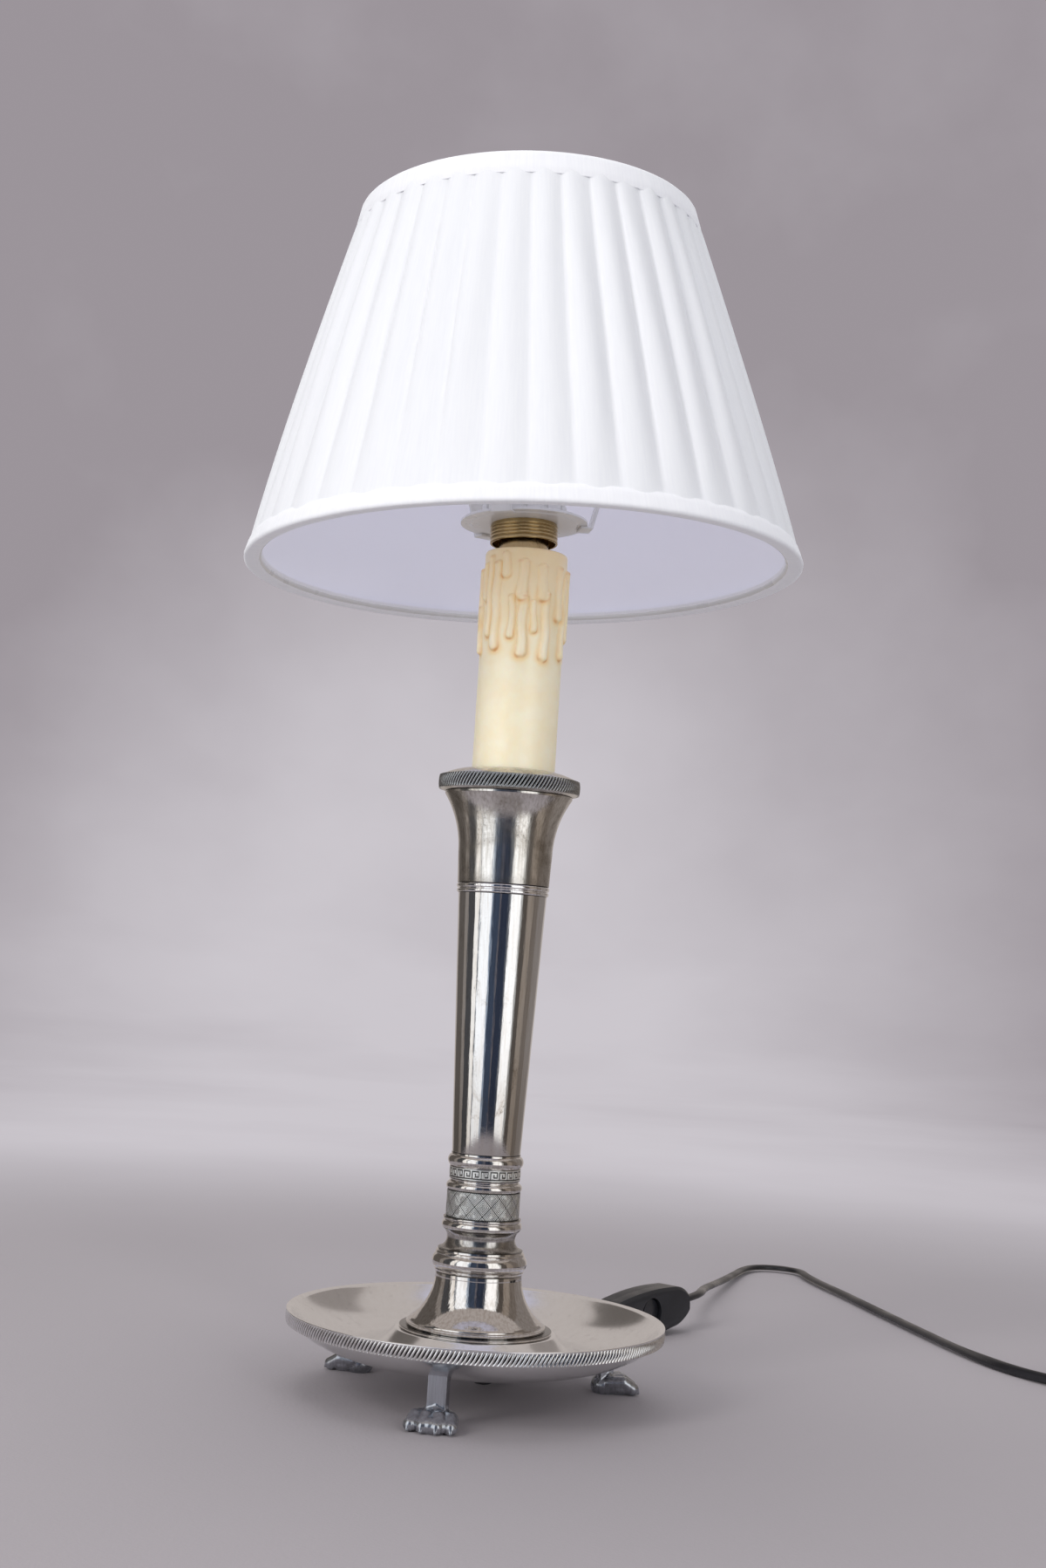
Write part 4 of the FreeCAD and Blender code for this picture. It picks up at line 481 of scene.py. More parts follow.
def route_line(name, points):
    """The points of a smooth spline that the route's corners guide, read from Blender's own curve."""
    data = bpy.data.curves.new(name, "CURVE")
    data.dimensions = "3D"
    data.resolution_u = 12
    spline = data.splines.new("NURBS")
    spline.points.add(len(points) - 1)
    for knot, place in zip(spline.points, points):
        knot.co = (*(Vector(place) * MM), 1.0)
    spline.order_u = 3
    spline.use_endpoint_u = True
    return [vertex.co.copy() for vertex in baked(placed(name, data)).vertices]


# The length over which the flex turns on to its edge, in metres, and how much its skin dips between its cores.
STAND_WITHIN = 0.08
WAIST_DIP = 0.16
WAIST_WIDTH = 0.3


def flat_tube(name, line, stand_from=None, sides=20):
    """A twin flex: two cores side by side under one skin. It stands on its edge from one place on."""
    befores, afters = [line[0], *line], [*line[1:], line[-1]]
    directions = [(after - before).normalized() for before, after in zip(befores, afters)]
    directions[0], directions[-1] = directions[1], directions[-2]
    across = Vector((1, 0, 0))
    sideways = []
    for way in reversed(directions):
        if abs(way.z) < 0.9:
            across = Vector((-way.y, way.x, 0)).normalized()
        across = (across - way * across.dot(way)).normalized()
        sideways.append(across)
    sideways.reverse()
    run = [0.0]
    for before, after in zip(line, line[1:]):
        run.append(run[-1] + (after - before).length)
    verts = []
    for place, way, side, length in zip(line, directions, sideways, run):
        up = way.cross(side)
        turn = 0.0 if stand_from is None else clamped((length - stand_from) / STAND_WITHIN)
        turn = math.pi / 2 * turn * turn * (3 - 2 * turn)
        flat = side * math.cos(turn) + up * math.sin(turn)
        thick = up * math.cos(turn) - side * math.sin(turn)
        for corner in range(sides):
            angle = 2 * math.pi * corner / sides
            waist = 1 - WAIST_DIP * math.exp(-(math.cos(angle) / WAIST_WIDTH) ** 2)
            verts.append(place + (flat * math.cos(angle) * FLEX_WIDTH / 2
                                  + thick * math.sin(angle) * waist * FLEX_THICKNESS / 2) * MM)
    faces = []
    for ring in range(len(line) - 1):
        here, there = ring * sides, (ring + 1) * sides
        for corner in range(sides):
            beside = (corner + 1) % sides
            faces.append((here + corner, here + beside, there + beside, there + corner))
    faces.append(tuple(range(sides))[::-1])
    faces.append(tuple((len(line) - 1) * sides + corner for corner in range(sides)))
    return smooth(meshed(name, verts, faces), 60), run[-1]


# %% The two lengths of flex
STAND_FROM = 0.50
lamp_line = route_line("lamp_route", LAMP_ROUTE)
lamp_mesh, lamp_length = flat_tube("foot_flex", lamp_line)
foot_flex = dressed("foot_flex", lamp_mesh, BLACK_FLEX, "black_flex", "base", "lamp_flex")
plug_line = route_line("plug_route", PLUG_ROUTE)
plug_mesh, plug_length = flat_tube("long_flex", plug_line, STAND_FROM)
long_flex = dressed("long_flex", plug_mesh, BLACK_FLEX, "black_flex", "base",
                    "plug_flex", "cord_coil", "plug_lead")
print("flex lengths", round(lamp_length, 4), round(plug_length, 4))

# %% [markdown]
# Turned pieces come off the lathe, so each is a half section swung round the upright. The outline is given
# as the construction gives it, in radius, height and how far the next edge bows out, and its corners are
# eased a little: a real edge is never razor sharp, and the thin highlight along it is what reads as metal.

# %% The lathe
ARC_STEPS = 14
EASE_STEPS = 4
EASE_LIMIT = 0.3
STRAIGHT = 1e-9
ON_AXIS = 1e-6


def edge_place(start, end, bow, share):
    """A place along one edge of an outline, straight or bowed."""
    if abs(bow) < STRAIGHT:
        return start.lerp(end, share)
    chord = end - start
    outwards = Vector((chord.y, -chord.x)).normalized()
    radius = chord.length ** 2 / (8 * abs(bow)) + abs(bow) / 2
    centre = (start + end) / 2 + outwards * (bow - math.copysign(radius, bow))
    first = math.atan2(start.y - centre.y, start.x - centre.x)
    swing = math.atan2(end.y - centre.y, end.x - centre.x) - first
    swing = (swing + math.pi) % (2 * math.pi) - math.pi
    angle = first + swing * share
    return centre + Vector((math.cos(angle), math.sin(angle))) * radius


def corner_share(corner, start, end, ease):
    """How much of an edge goes to easing one of its corners. A corner on the axis stays as it is."""
    length = max((end - start).length, 1e-6)
    return 0.0 if corner.x < ON_AXIS else min(ease, length * EASE_LIMIT) / length


def eased_outline(outline, ease):
    places = [Vector(entry[:2]) for entry in outline]
    points = []
    count = len(outline)
    for index, (*_, bow) in enumerate(outline):
        start, end, following = (places[(index + step) % count] for step in range(3))
        head, tail = (corner_share(corner, start, end, ease) for corner in (start, end))
        steps = 1 if abs(bow) < STRAIGHT else ARC_STEPS
        for step in range(steps + 1):
            points.append(edge_place(start, end, bow, head + (1 - head - tail) * step / steps))
        leaving = points[-1]
        next_bow = outline[(index + 1) % count][2]
        entering = edge_place(end, following, next_bow, corner_share(end, end, following, ease))
        for step in range(1, EASE_STEPS):
            share = step / EASE_STEPS
            points.append(leaving.lerp(end, share).lerp(end.lerp(entering, share), share))
    return points


def loop_mesh(name, rings, closed=True):
    """Skin a set of closed outlines that follow one another, each a list of places."""
    count = len(rings[0])
    verts = [place for ring in rings for place in ring]
    faces = []
    for ring in range(len(rings) - (0 if closed else 1)):
        here, there = ring * count, (ring + 1) % len(rings) * count
        for index in range(count):
            beside = (index + 1) % count
            faces.append((here + index, there + index, there + beside, here + beside))
    return meshed(name, verts, faces)


def cleaned(mesh):
    """Merge doubled points, as at a pole, and drop what has no area."""
    shell = bmesh.new()
    shell.from_mesh(mesh)
    bmesh.ops.remove_doubles(shell, verts=shell.verts, dist=1e-6)
    bmesh.ops.dissolve_degenerate(shell, dist=1e-7, edges=shell.edges)
    shell.to_mesh(mesh)
    shell.free()
    return mesh


# The finish darkens within this many millimetres of a joint, and this much relief is left at the joint itself.
JOINT_DARKENING = 0.55
JOINT_RELIEF = 0.1


def noted(mesh, label, values):
    """Store a number at each point of a mesh, for its finish to read."""
    mesh.attributes.new(label, "FLOAT", "POINT").data.foreach_set("value", values)


def lathe(name, outline, foot, ease, segments=192, place=None):
    """Swing an outline round the upright. Relief is low beside the joints with the pieces above and below."""
    points = eased_outline([tuple(map(float, entry)) for entry in outline], ease)
    low, high = min(point.y for point in points), max(point.y for point in points)
    relief = [min(1.0, JOINT_RELIEF + min(point.y - low, high - point.y) / JOINT_DARKENING) for point in points]
    rings = [[swung(point.x, 2 * math.pi * segment / segments, point.y + foot) * MM for point in points]
             for segment in range(segments)]
    mesh = loop_mesh(name, rings)
    noted(mesh, "relief", relief * segments)
    mesh = cleaned(mesh)
    if place is not None:
        mesh.transform(place)
    return smooth(mesh, 50)


def foot_of(node):
    """The height that a node stands at, in millimetres."""
    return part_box(node)[0].z / MM


def turned(node, outline, finish=SILVER_STEM, ease=0.25):
    """A lathe piece in the place of an upright node of the stem."""
    name = node + "_turned"
    return dressed(name, lathe(name, outline, foot_of(node), ease), finish, "silver_plate", "base", node)


def bored(node, bore, outline, finish=SILVER_STEM, ease=0.15):
    """A turned piece with a straight bore from end to end."""
    turned(node, [(bore, 0, 0), *outline, (bore, outline[-1][1], 0)], finish, ease)


# %% [markdown]
# The foot is a spun dish. A wide bowl runs up to a rim that is 82 mm out, and its middle rises to a flat hub
# that carries the stem.

# %% The dish
STEM_BORE = 8.0
TUBE_HOLE = 5.15
turned("dish", [(TUBE_HOLE, 10.4, 0), (34, 10.4, 1.2), (50, 0, 2.2), (80.4, 12.7, 0), (80.4, 17.7, 0),
                (81.9, 17.7, 0), (81.9, 18.2, 0), (81.3, 18.5, 0), (79.6, 17.5, -3.7), (50.8, 1.6, -1.2),
                (34.8, 12, 0), (TUBE_HOLE, 12, 0)], SILVER_DISH, ease=0.5)

# %% The turned stem, from the dish up
bored("step_ring", TUBE_HOLE, [(33.1, 0, 0), (33.1, 1.2, 0)], ease=0.5)
bored("bell_foot", STEM_BORE, [(30.2, 0, 0), (30.2, 1.7, 0), (29.2, 1.9, 0), (29.1, 2.4, 0), (28.4, 3.3, -2.25),
                               (18.8, 21.3, 0), (18.8, 23.3, 0)], ease=0.25)
bored("knop", STEM_BORE, [(18.9, 0, 0), (19.4, 1.0, 0), (19.1, 1.3, 1.5), (19.1, 7.8, 0), (19.4, 8.1, 0),
                          (18.9, 9.0, 0), (18.5, 9.0, 0), (18.5, 10, 0)])
bored("stem_neck", STEM_BORE, [(18.1, 0, -2.7), (16.9, 8.5, 0)], SILVER_NECK, ease=0.25)
bored("lower_bead", STEM_BORE, [(16.8, 0, 0.6), (16.8, 3.2, 0), (16.5, 3.4, 0), (16.5, 3.8, 0), (16.8, 4.0, 0.15),
                                (16.8, 5, 0)], ease=0.12)
bored("middle_bead", STEM_BORE, [(15.6, 0, 0.9), (15.6, 3.3, -0.5), (15.5, 5, 0)])
bored("upper_bead", STEM_BORE, [(15.5, 0, 0), (15.5, 0.5, 1.0), (15.5, 4.9, 0), (15.1, 5.1, 0), (15.1, 6, 0)])
turned("column", [(13.5, 0, 0), (14.9, 0, 0), (19.5, 112.7, 0), (18.1, 112.7, 0)])
bored("cup_bead", TUBE_HOLE, [(19.6, 0, 0.7), (19.6, 1.9, 0), (19.9, 2.1, 0.7), (19.6, 4.3, 0)])
turned("cup", [(TUBE_HOLE, 0, 0), (20.2, 0, 0), (20.8, 14, -1.85), (28.2, 39, 0), (28.2, 40, 0), (26.7, 40, 0),
               (26.7, 39, 1.85), (19.3, 14, 0), (18.7, 1.5, 0), (TUBE_HOLE, 1.5, 0)], SILVER_CUP)
turned("drip_pan", [(26.7, 0, 0), (28.2, 0, 0), (30.4, 1, 0), (30.4, 7, 0.6), (19, 10.5, 0), (TUBE_HOLE, 10.5, 0),
                    (TUBE_HOLE, 9.1, 0), (18.3, 9.1, -0.6), (29, 6.3, 0), (29, 1.7, 0)], SILVER_CUP, ease=0.4)

# %% [markdown]
# Four bands of the stem are rolled with a pattern that repeats: oblique flutes round the two rims, nested
# lozenges, and a running key. One repeat of each is a small closed strip of mesh, and a Geometry Nodes tree
# sets as many copies as fit round the axis and joins them into one ring.

# %% Ring of copies
def ring_tree():
    tree = bpy.data.node_groups.new("ring_of_copies", "GeometryNodeTree")
    for label, kind in (("Motif", "Geometry"), ("Count", "Int"), ("Weld", "Float"), ("Finish", "Material")):
        tree.interface.new_socket(label, in_out="INPUT", socket_type="NodeSocket" + kind)
    tree.interface.new_socket("Ring", in_out="OUTPUT", socket_type="NodeSocketGeometry")
    given = tree.nodes.new("NodeGroupInput").outputs
    points = put(tree, "GeometryNodePoints", {"Count": given["Count"]}).outputs[0]
    share = worked(tree, "DIVIDE", 2 * math.pi, given["Count"])
    angle = worked(tree, "MULTIPLY", put(tree, "GeometryNodeInputIndex").outputs[0], share)
    facing = put(tree, "ShaderNodeCombineXYZ", {"Z": angle}).outputs[0]
    turned_by = put(tree, "FunctionNodeEulerToRotation", {0: facing}).outputs[0]
    copies = put(tree, "GeometryNodeInstanceOnPoints", {"Points": points, "Instance": given["Motif"],
                                                        "Rotation": turned_by}).outputs[0]
    real = put(tree, "GeometryNodeRealizeInstances", {0: copies}).outputs[0]
    welded = put(tree, "GeometryNodeMergeByDistance", {"Geometry": real, "Distance": given["Weld"]}).outputs[0]
    ring = put(tree, "GeometryNodeSetMaterial", {"Geometry": welded, "Material": given["Finish"]}).outputs[0]
    put(tree, "NodeGroupOutput", {0: ring})
    return tree


RING = ring_tree()
WELD = 2e-6


def ring_of(name, motif, count, finish):
    seed = placed(name + "_motif", motif)
    modifier = seed.modifiers.new("ring", "NODES")
    modifier.node_group = RING
    values = {"Count": count, "Weld": WELD, "Finish": finish}
    for socket in RING.interface.items_tree:
        if socket.name in values:
            modifier[socket.identifier] = values[socket.name]
    mesh = baked(seed)
    print(name, "copies", count, "faces", len(mesh.polygons))
    return mesh


# %% One repeat of a rolled band
def band_motif(name, foot, height, inner, radius, count, columns, rows, relief, depth, lean=0.0, crown=0.0):
    """A closed strip of the ring, whose outer face stands out by relief(across, up) times depth."""
    share = 2 * math.pi / count

    def place(across, up, reach):
        angle = (across - 0.5) * share + lean * (up - 0.5) / radius
        return swung(reach, angle, foot + height * up) * MM

    rings = []
    heights = []
    for column in range(columns + 1):
        across = column / columns
        ring = []
        for row in range(rows + 1):
            up = row / rows
            stand = relief(across % 1.0, up)
            ring.append(place(across, up, radius + crown * (1 - (2 * up - 1) ** 2) + depth * (stand - 1)))
            heights.append(stand)
        rings.append(ring + [place(across, up, inner) for up in (1.0, 0.0)])
        heights += [1.0, 1.0]
    mesh = loop_mesh(name, rings, closed=False)
    noted(mesh, "relief", heights)
    return mesh


def rolled(node, finish, **sizes):
    name = node + "_rolled"
    motif = band_motif(name, foot_of(node), **sizes)
    mesh = smooth(ring_of(name, motif, sizes["count"], finish), 60)
    return dressed(name, mesh, finish, "silver_plate", "base", node)


# %% Oblique flutes round the dish and round the drip pan
def flute(across, up):
    """A rounded ridge that dies out at the band's two edges."""
    rise = min(1.0, 1.25 * math.sin(math.pi * across) ** 1.5)
    edge = min(1.0, 7 * min(up, 1 - up))
    return 1 - edge * (1 - rise)


rolled("dish_rim_band", SILVER_FLUTES, height=5.0, inner=80.4, radius=81.7, count=286, columns=8, rows=5,
       relief=flute, depth=0.6, lean=2.7, crown=0.3)
rolled("pan_rim_band", PAN_FLUTES, height=6.0, inner=30.4, radius=31.1, count=112, columns=8, rows=6,
       relief=flute, depth=0.6, lean=3.6, crown=0.3)


# %% Nested lozenges and the running key
CUT = 0.92
LOZENGE_ROWS = 1.45
# The lines cut round each lozenge and inside it: how far out from its middle, and how wide.
LOZENGE_LINES = [(0.97, 0.08), (0.74, 0.07), (0.5, 0.07), (0.3, 0.05)]
KEY_LINE = [(0.0, 0.9), (0.0, 4.1), (3.9, 4.1), (3.9, 1.9), (1.9, 1.9), (1.9, 3.0)]
KEY_PITCH = 5.4
KEY_HEIGHT = 5.0
KEY_FOOT = 0.9
KEY_SHIFT = 0.7
KEY_HALF_WIDTH = 0.44
KEY_SLOPE = 0.25


def ridge(value, middle, width):
    return math.exp(-((value - middle) / width) ** 2)


def borders(up, width):
    return max(ridge(up, 0.0, width), ridge(up, 1.0, width))


def folded(value):
    """How far a place is from the middle of its repeat, from 0 to 1."""
    return abs(((value + 0.5) % 1.0) - 0.5) * 2


def lozenges(across, up):
    """Lines cut round each lozenge, three smaller ones inside and a rosette in its middle."""
    sideways, upwards = folded(across), folded((up - 0.5) * LOZENGE_ROWS)
    nest = min(sideways + upwards, 2 - sideways - upwards)
    lines = max(ridge(nest, middle, width) for middle, width in LOZENGE_LINES)
    rosette = ridge(nest, 0.1, 0.16) * (0.65 + 0.35 * math.cos(4 * math.atan2(upwards, sideways + 1e-6)))
    return 1.0 - CUT * min(1.0, max(lines, rosette, borders(up, 0.035)))


def segment_distance(place, start, end):
    way = end - start
    share = clamped((place - start).dot(way) / way.length_squared)
    return (place - start - way * share).length


def running_key(across, up):
    """A meander that rises from a line along the band's foot and hooks back on itself."""
    nearest = abs(up * KEY_HEIGHT - KEY_FOOT)
    for wrap in (-KEY_PITCH, 0.0, KEY_PITCH):
        place = Vector((across * KEY_PITCH + wrap - KEY_SHIFT, up * KEY_HEIGHT))
        for start, end in zip(KEY_LINE, KEY_LINE[1:]):
            nearest = min(nearest, segment_distance(place, Vector(start), Vector(end)))
    return 1.0 - CUT * max(borders(up, 0.05), clamped((KEY_HALF_WIDTH - nearest) / KEY_SLOPE))


rolled("lozenge_band", SILVER_PATTERN, height=11.5, inner=STEM_BORE, radius=16.0, count=14, columns=56, rows=72,
       relief=lozenges, depth=0.2)
rolled("key_band", SILVER_PATTERN, height=KEY_HEIGHT, inner=STEM_BORE, radius=15.5, count=24, columns=30, rows=30,
       relief=running_key, depth=0.2)

# %% [markdown]
# Three lion paws carry the dish. A paw is cast, so it has no hard edges: simple round-ended rods for toes,
# claws and tufts are piled up, wrapped by a fine voxel remesh and smoothed. Its underside is then pressed
# flat where it stands, and the top of its leg is shaped to the underside of the dish.

# %% The paws
LEG_MIDDLE = 63.0
LEG_DEPTH = 7.2
LEG_WIDTH = 8.6
TOE_RADIUS = 3.3
TOE_REACH = 16.5
TOE_SPREAD = 8.3
HEEL_RADIUS = 6.6
PAW_VOXEL = 0.32
PAW_SMOOTHING = 3
LEG_TOP = 27.0


def from_shell(name, shell):
    mesh = bpy.data.meshes.new(name)
    shell.to_mesh(mesh)
    shell.free()
    return mesh


def add_rod(shell, start, end, radius, tip):
    """A round-ended rod, thinner at its tip, as two balls and the cone between them."""
    way = end - start
    turn = Vector((0, 0, 1)).rotation_difference(way).to_matrix().to_4x4()
    for place, size in ((start, radius), (end, tip)):
        bmesh.ops.create_uvsphere(shell, u_segments=20, v_segments=12, radius=size,
                                  matrix=Matrix.Translation(place))
    bmesh.ops.create_cone(shell, cap_ends=True, segments=20, radius1=radius, radius2=tip, depth=way.length,
                          matrix=Matrix.Translation((start + end) / 2) @ turn)


DISH_FOOT = foot_of("dish")
BOWL_START = 50
BOWL_WIDTH = 30.4
BOWL_RISE = 12.7
BOWL_BOW = 2.4


def underside(reach):
    """The height of the dish's underside at a distance from the axis: a chord and the bow under it."""
    share = clamped((reach - BOWL_START) / BOWL_WIDTH)
    return DISH_FOOT + BOWL_RISE * share - BOWL_BOW * 4 * share * (1 - share)


def paw_mesh():
    shell = bmesh.new()
    leg_foot = HEEL_RADIUS / 2
    middle = Matrix.Translation((LEG_MIDDLE, 0, (leg_foot + LEG_TOP) / 2))
    bmesh.ops.create_cube(shell, size=1, matrix=middle @ Matrix.Diagonal(
        (LEG_DEPTH - 0.6, LEG_WIDTH - 0.6, LEG_TOP - leg_foot, 1)))
    heel = Vector((LEG_MIDDLE + 1, 0, HEEL_RADIUS / 2))
    bmesh.ops.create_uvsphere(shell, u_segments=28, v_segments=18, radius=HEEL_RADIUS - 0.4,
                              matrix=Matrix.Translation(heel))
    bmesh.ops.create_uvsphere(shell, u_segments=28, v_segments=18, radius=1.0, matrix=Matrix.Translation(
        (LEG_MIDDLE + 7, 0, 3.0)) @ Matrix.Diagonal((8.0, 9.4, 4.4, 1)))
    for step in (-1.0, -0.34, 0.34, 1.0):
        spread = step * TOE_SPREAD
        tip = Vector((LEG_MIDDLE + TOE_REACH - TOE_RADIUS - abs(step) * 2.4, spread, TOE_RADIUS - 0.5))
        knuckle = Vector((tip.x - 4.2, 0.9 * spread, 6.0 - 0.5 * abs(step)))
        root = Vector((LEG_MIDDLE + 1, 0.5 * spread, 5.0))
        add_rod(shell, root, knuckle, TOE_RADIUS * 0.9, TOE_RADIUS * 0.84)
        add_rod(shell, knuckle, tip, TOE_RADIUS * 0.84, TOE_RADIUS * 0.86)
        claw_root = tip + Vector((1.4, 0.05 * spread, -0.2))
        add_rod(shell, claw_root, claw_root + Vector((1.2, 0.02 * spread, -1.5)), 1.5, 0.7)
    for lock in range(-3, 4):
        root = Vector((LEG_MIDDLE + LEG_DEPTH / 2 - 1.2 - abs(lock) * 0.5, lock * 1.35, 9.6 - abs(lock) * 0.5))
        add_rod(shell, root, root + Vector((2.4 - abs(lock) * 0.3, lock * 0.45, -2.8)), 0.95, 0.55)
    for vertex in shell.verts:
        vertex.co *= MM
    return from_shell("paw", shell)


def wrapped(mesh):
    """A voxel remesh of a pile of closed shapes, smoothed."""
    pile = placed("paw_pile", mesh)
    remesh = pile.modifiers.new("wrap", "REMESH")
    remesh.mode = "VOXEL"
    remesh.voxel_size = PAW_VOXEL * MM
    soften = pile.modifiers.new("soften", "SMOOTH")
    soften.factor = 0.5
    soften.iterations = PAW_SMOOTHING
    return baked(pile)


paw = wrapped(paw_mesh())
for vertex in paw.vertices:
    reach, height = vertex.co.xy.length / MM, vertex.co.z / MM
    vertex.co.z = max(0.0, min(height, underside(reach) + 0.5)) * MM
paw = cleaned(paw)
for node, azimuth in (("front_foot", -102), ("right_foot", 23), ("left_foot", 143)):
    mesh = paw.copy()
    mesh.transform(Matrix.Rotation(math.radians(azimuth), 4, "Z"))
    dressed(node + "_cast", smooth(mesh, 70), SILVER_PAWS, "silver_plate", "base", node)
print("paw faces", len(paw.polygons))

# %% [markdown]
# The candle sleeve is a tube whose outer face is pushed out along each run of wax. Every run is a rounded
# ridge from where it starts to its tip, a little wavy. The same numbers say where the brown stain lies:
# along a run's edges, strongest at its tip, and in a small crescent where it starts.

# %% The candle sleeve
CANDLE_RADIUS = 18.45
CANDLE_BORE = 16.85
CANDLE_HEIGHT = 97.5
CANDLE_OFFSET = 1.3
CANDLE_COLUMNS = 300
WAX_HEIGHT = 1.75
# Each run of wax: azimuth, where it starts and where its tip is, below the rim, and its half width.
WAX_RUNS = [(-131, 7, 46, 2.5), (-93, 6.5, 24, 2.7), (-91, 22, 49, 2.5), (-65, 8, 23.5, 2.7), (-58, 20, 50, 2.3),
            (-36, 7.5, 31.5, 2.4), (-106, 22, 41, 1.8), (-143, 4, 40, 2.0), (-154, 7, 24, 2.1),
            (-76, 24, 38, 1.6), (-118, 3, 14, 2.2), (-172, 9, 35, 2.4), (-168, 26, 47, 1.9), (-24, 12, 48, 2.2),
            (-10, 8, 40, 2.4), (8, 7, 27, 2.6), (24, 12, 49, 2.4), (44, 7, 36, 2.6), (60, 18, 44, 2.1),
            (78, 7, 30, 2.7), (96, 9, 47, 2.5), (118, 7, 33, 2.4), (136, 14, 45, 2.5), (157, 8, 29, 2.4)]


def wax_at(azimuth, drop):
    """How far the wax stands out, how stained it is and how warm, at a place on the sleeve."""
    stand = stain = warm = 0.0
    for middle, start, tip, half in WAX_RUNS:
        wave = 0.35 * math.sin(drop * 0.33 + middle)
        across = ((azimuth - middle + 180) % 360 - 180) * math.pi / 180 * CANDLE_RADIUS + wave
        if abs(across) > 3 * half or drop > tip + 2 * half:
            continue
        width = half * (0.82 + 0.25 * clamped((drop - tip + 9) / 9))
        below = max(0.0, drop - (tip - half))
        above = max(0.0, start - drop) * 1.6
        away = math.sqrt(across ** 2 + below ** 2 + above ** 2) / width
        stand = max(stand, math.sqrt(max(0.0, 1 - min(1.0, away) ** 2)))
        near_tip = clamped((drop - tip + 3.2 * half) / (3 * half))
        rim = math.exp(-((away - 1.02) / 0.2) ** 2)
        side = 0.2 + 0.35 * (across > 0)
        blotch = 0.5 + 0.5 * math.sin(middle * 2.7 + across * 1.1 + drop * 0.6)
        stain = max(stain, rim * (0.22 * side + 0.75 * blotch * near_tip ** 2))
        stain = max(stain, 0.7 * blotch * math.exp(-((drop - start) / 0.7) ** 2 - (across / (0.8 * half)) ** 2))
        warm = max(warm, math.exp(-((away - 1.2) / 0.6) ** 2) * (0.4 + 0.25 * near_tip))
    return stand, stain, min(1.0, warm)


def candle_mesh():
    drops = [CANDLE_HEIGHT - share for share in np.linspace(0, CANDLE_HEIGHT - 56, 14)]
    drops += list(np.linspace(55.5, 1.1, 130))
    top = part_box("drip_pan")[1].z / MM
    rings = []
    stains = []
    warms = []
    for column in range(CANDLE_COLUMNS):
        azimuth = 360 * column / CANDLE_COLUMNS
        angle = math.radians(azimuth)
        ring = []
        for drop in drops:
            stand, stain, warm = wax_at(azimuth, drop)
            uneven = 0.06 * noise.noise(swung(1, angle, drop / 20) * 2)
            ring.append((CANDLE_RADIUS - 0.06 + uneven + WAX_HEIGHT * stand, CANDLE_HEIGHT - drop))
            stains.append(stain)
            warms.append(max(warm, 0.55 * max(0.0, 1 - drop / 40) ** 0.7))
        ring += [(CANDLE_RADIUS - 0.35, CANDLE_HEIGHT - 0.35), (CANDLE_RADIUS - 0.9, CANDLE_HEIGHT),
                 (CANDLE_BORE + 0.2, CANDLE_HEIGHT), (CANDLE_BORE, CANDLE_HEIGHT - 0.3), (CANDLE_BORE, 0)]
        stains += [0.1] * 5
        warms += [0.4] * 5
        rings.append([Vector((radius * math.cos(angle) + CANDLE_OFFSET, radius * math.sin(angle),
                              top + height)) * MM for radius, height in ring])
    mesh = loop_mesh("candle_sleeve_waxed", rings)
    noted(mesh, "wax_stain", stains)
    noted(mesh, "wax_warm", warms)
    return smooth(mesh, 60)


dressed("candle_sleeve_waxed", candle_mesh(), CANDLE_WAX, "candle_wax", "base", "candle_sleeve")

# %% [markdown]
# The lampholder is an aged brass bayonet holder. A ribbed collar on its thread carries a white disc, and a
# slotted ring screws down on the disc. These are turned too, but on the leaning axis.

# %% The lampholder's turned pieces
def turned_leaning(node, rise, outline, finish, slot, body="base", ease=0.2):
    name = node + "_turned"
    mesh = lathe(name, outline, rise, ease, segments=144, place=LEAN)
    return dressed(name, mesh, finish, slot, body, node)


COLLAR_RISE = 8.7
RIB_PITCH = 1.55
collar = [(14.25, 0, 0), (15.0, 0, 0), (15.2, 0.3, 0), (15.2, 1.2, 0), (14.95, 1.7, 0)]
for rib in range(4):
    collar += [(radius, height + RIB_PITCH * rib, 0)
               for radius, height in ((14.72, 1.95), (15.15, 2.35), (15.15, 3.05))]
collar += [(14.9, 8.2, 0), (14.9, 8.8, 0), (14.25, 8.8, 0)]
turned_leaning("lower_shade_ring", COLLAR_RISE, collar, AGED_BRASS, "aged_brass", ease=0.12)
turned_leaning("holder_cap", -10.5, [(5.7, 0, 0), (9, 0, 0.3), (11, 3, 0), (11, 21.5, 0), (10.6, 21.9, 0),
                                     (10.6, 22.4, 0), (11, 22.8, 0), (11, 24.5, 0), (9.8, 24.5, 0), (9.8, 4.2, 0),
                                     (5.7, 4.2, 0)], AGED_BRASS, "aged_brass")
turned_leaning("fitter_disc", 17.5, [(14.5, 0, 0), (23.6, 0, 0), (24.15, 0.3, 0), (28.5, 0.3, 0), (28.5, 1.5, 0),
                                     (14.5, 1.5, 0)], WHITE_ENAMEL, "white_enamel", body="shade")

# %% [markdown]
# Pieces that are sawn, stamped or moulded keep the construction's own shape, with their edges eased: a copy
# of the solid is merged, its flat faces are made whole, and a fine bevel runs along every hard edge.

# %% Easing a solid's edges
FLAT_WITHIN = math.radians(1.5)
HARD_EDGE = math.radians(32)


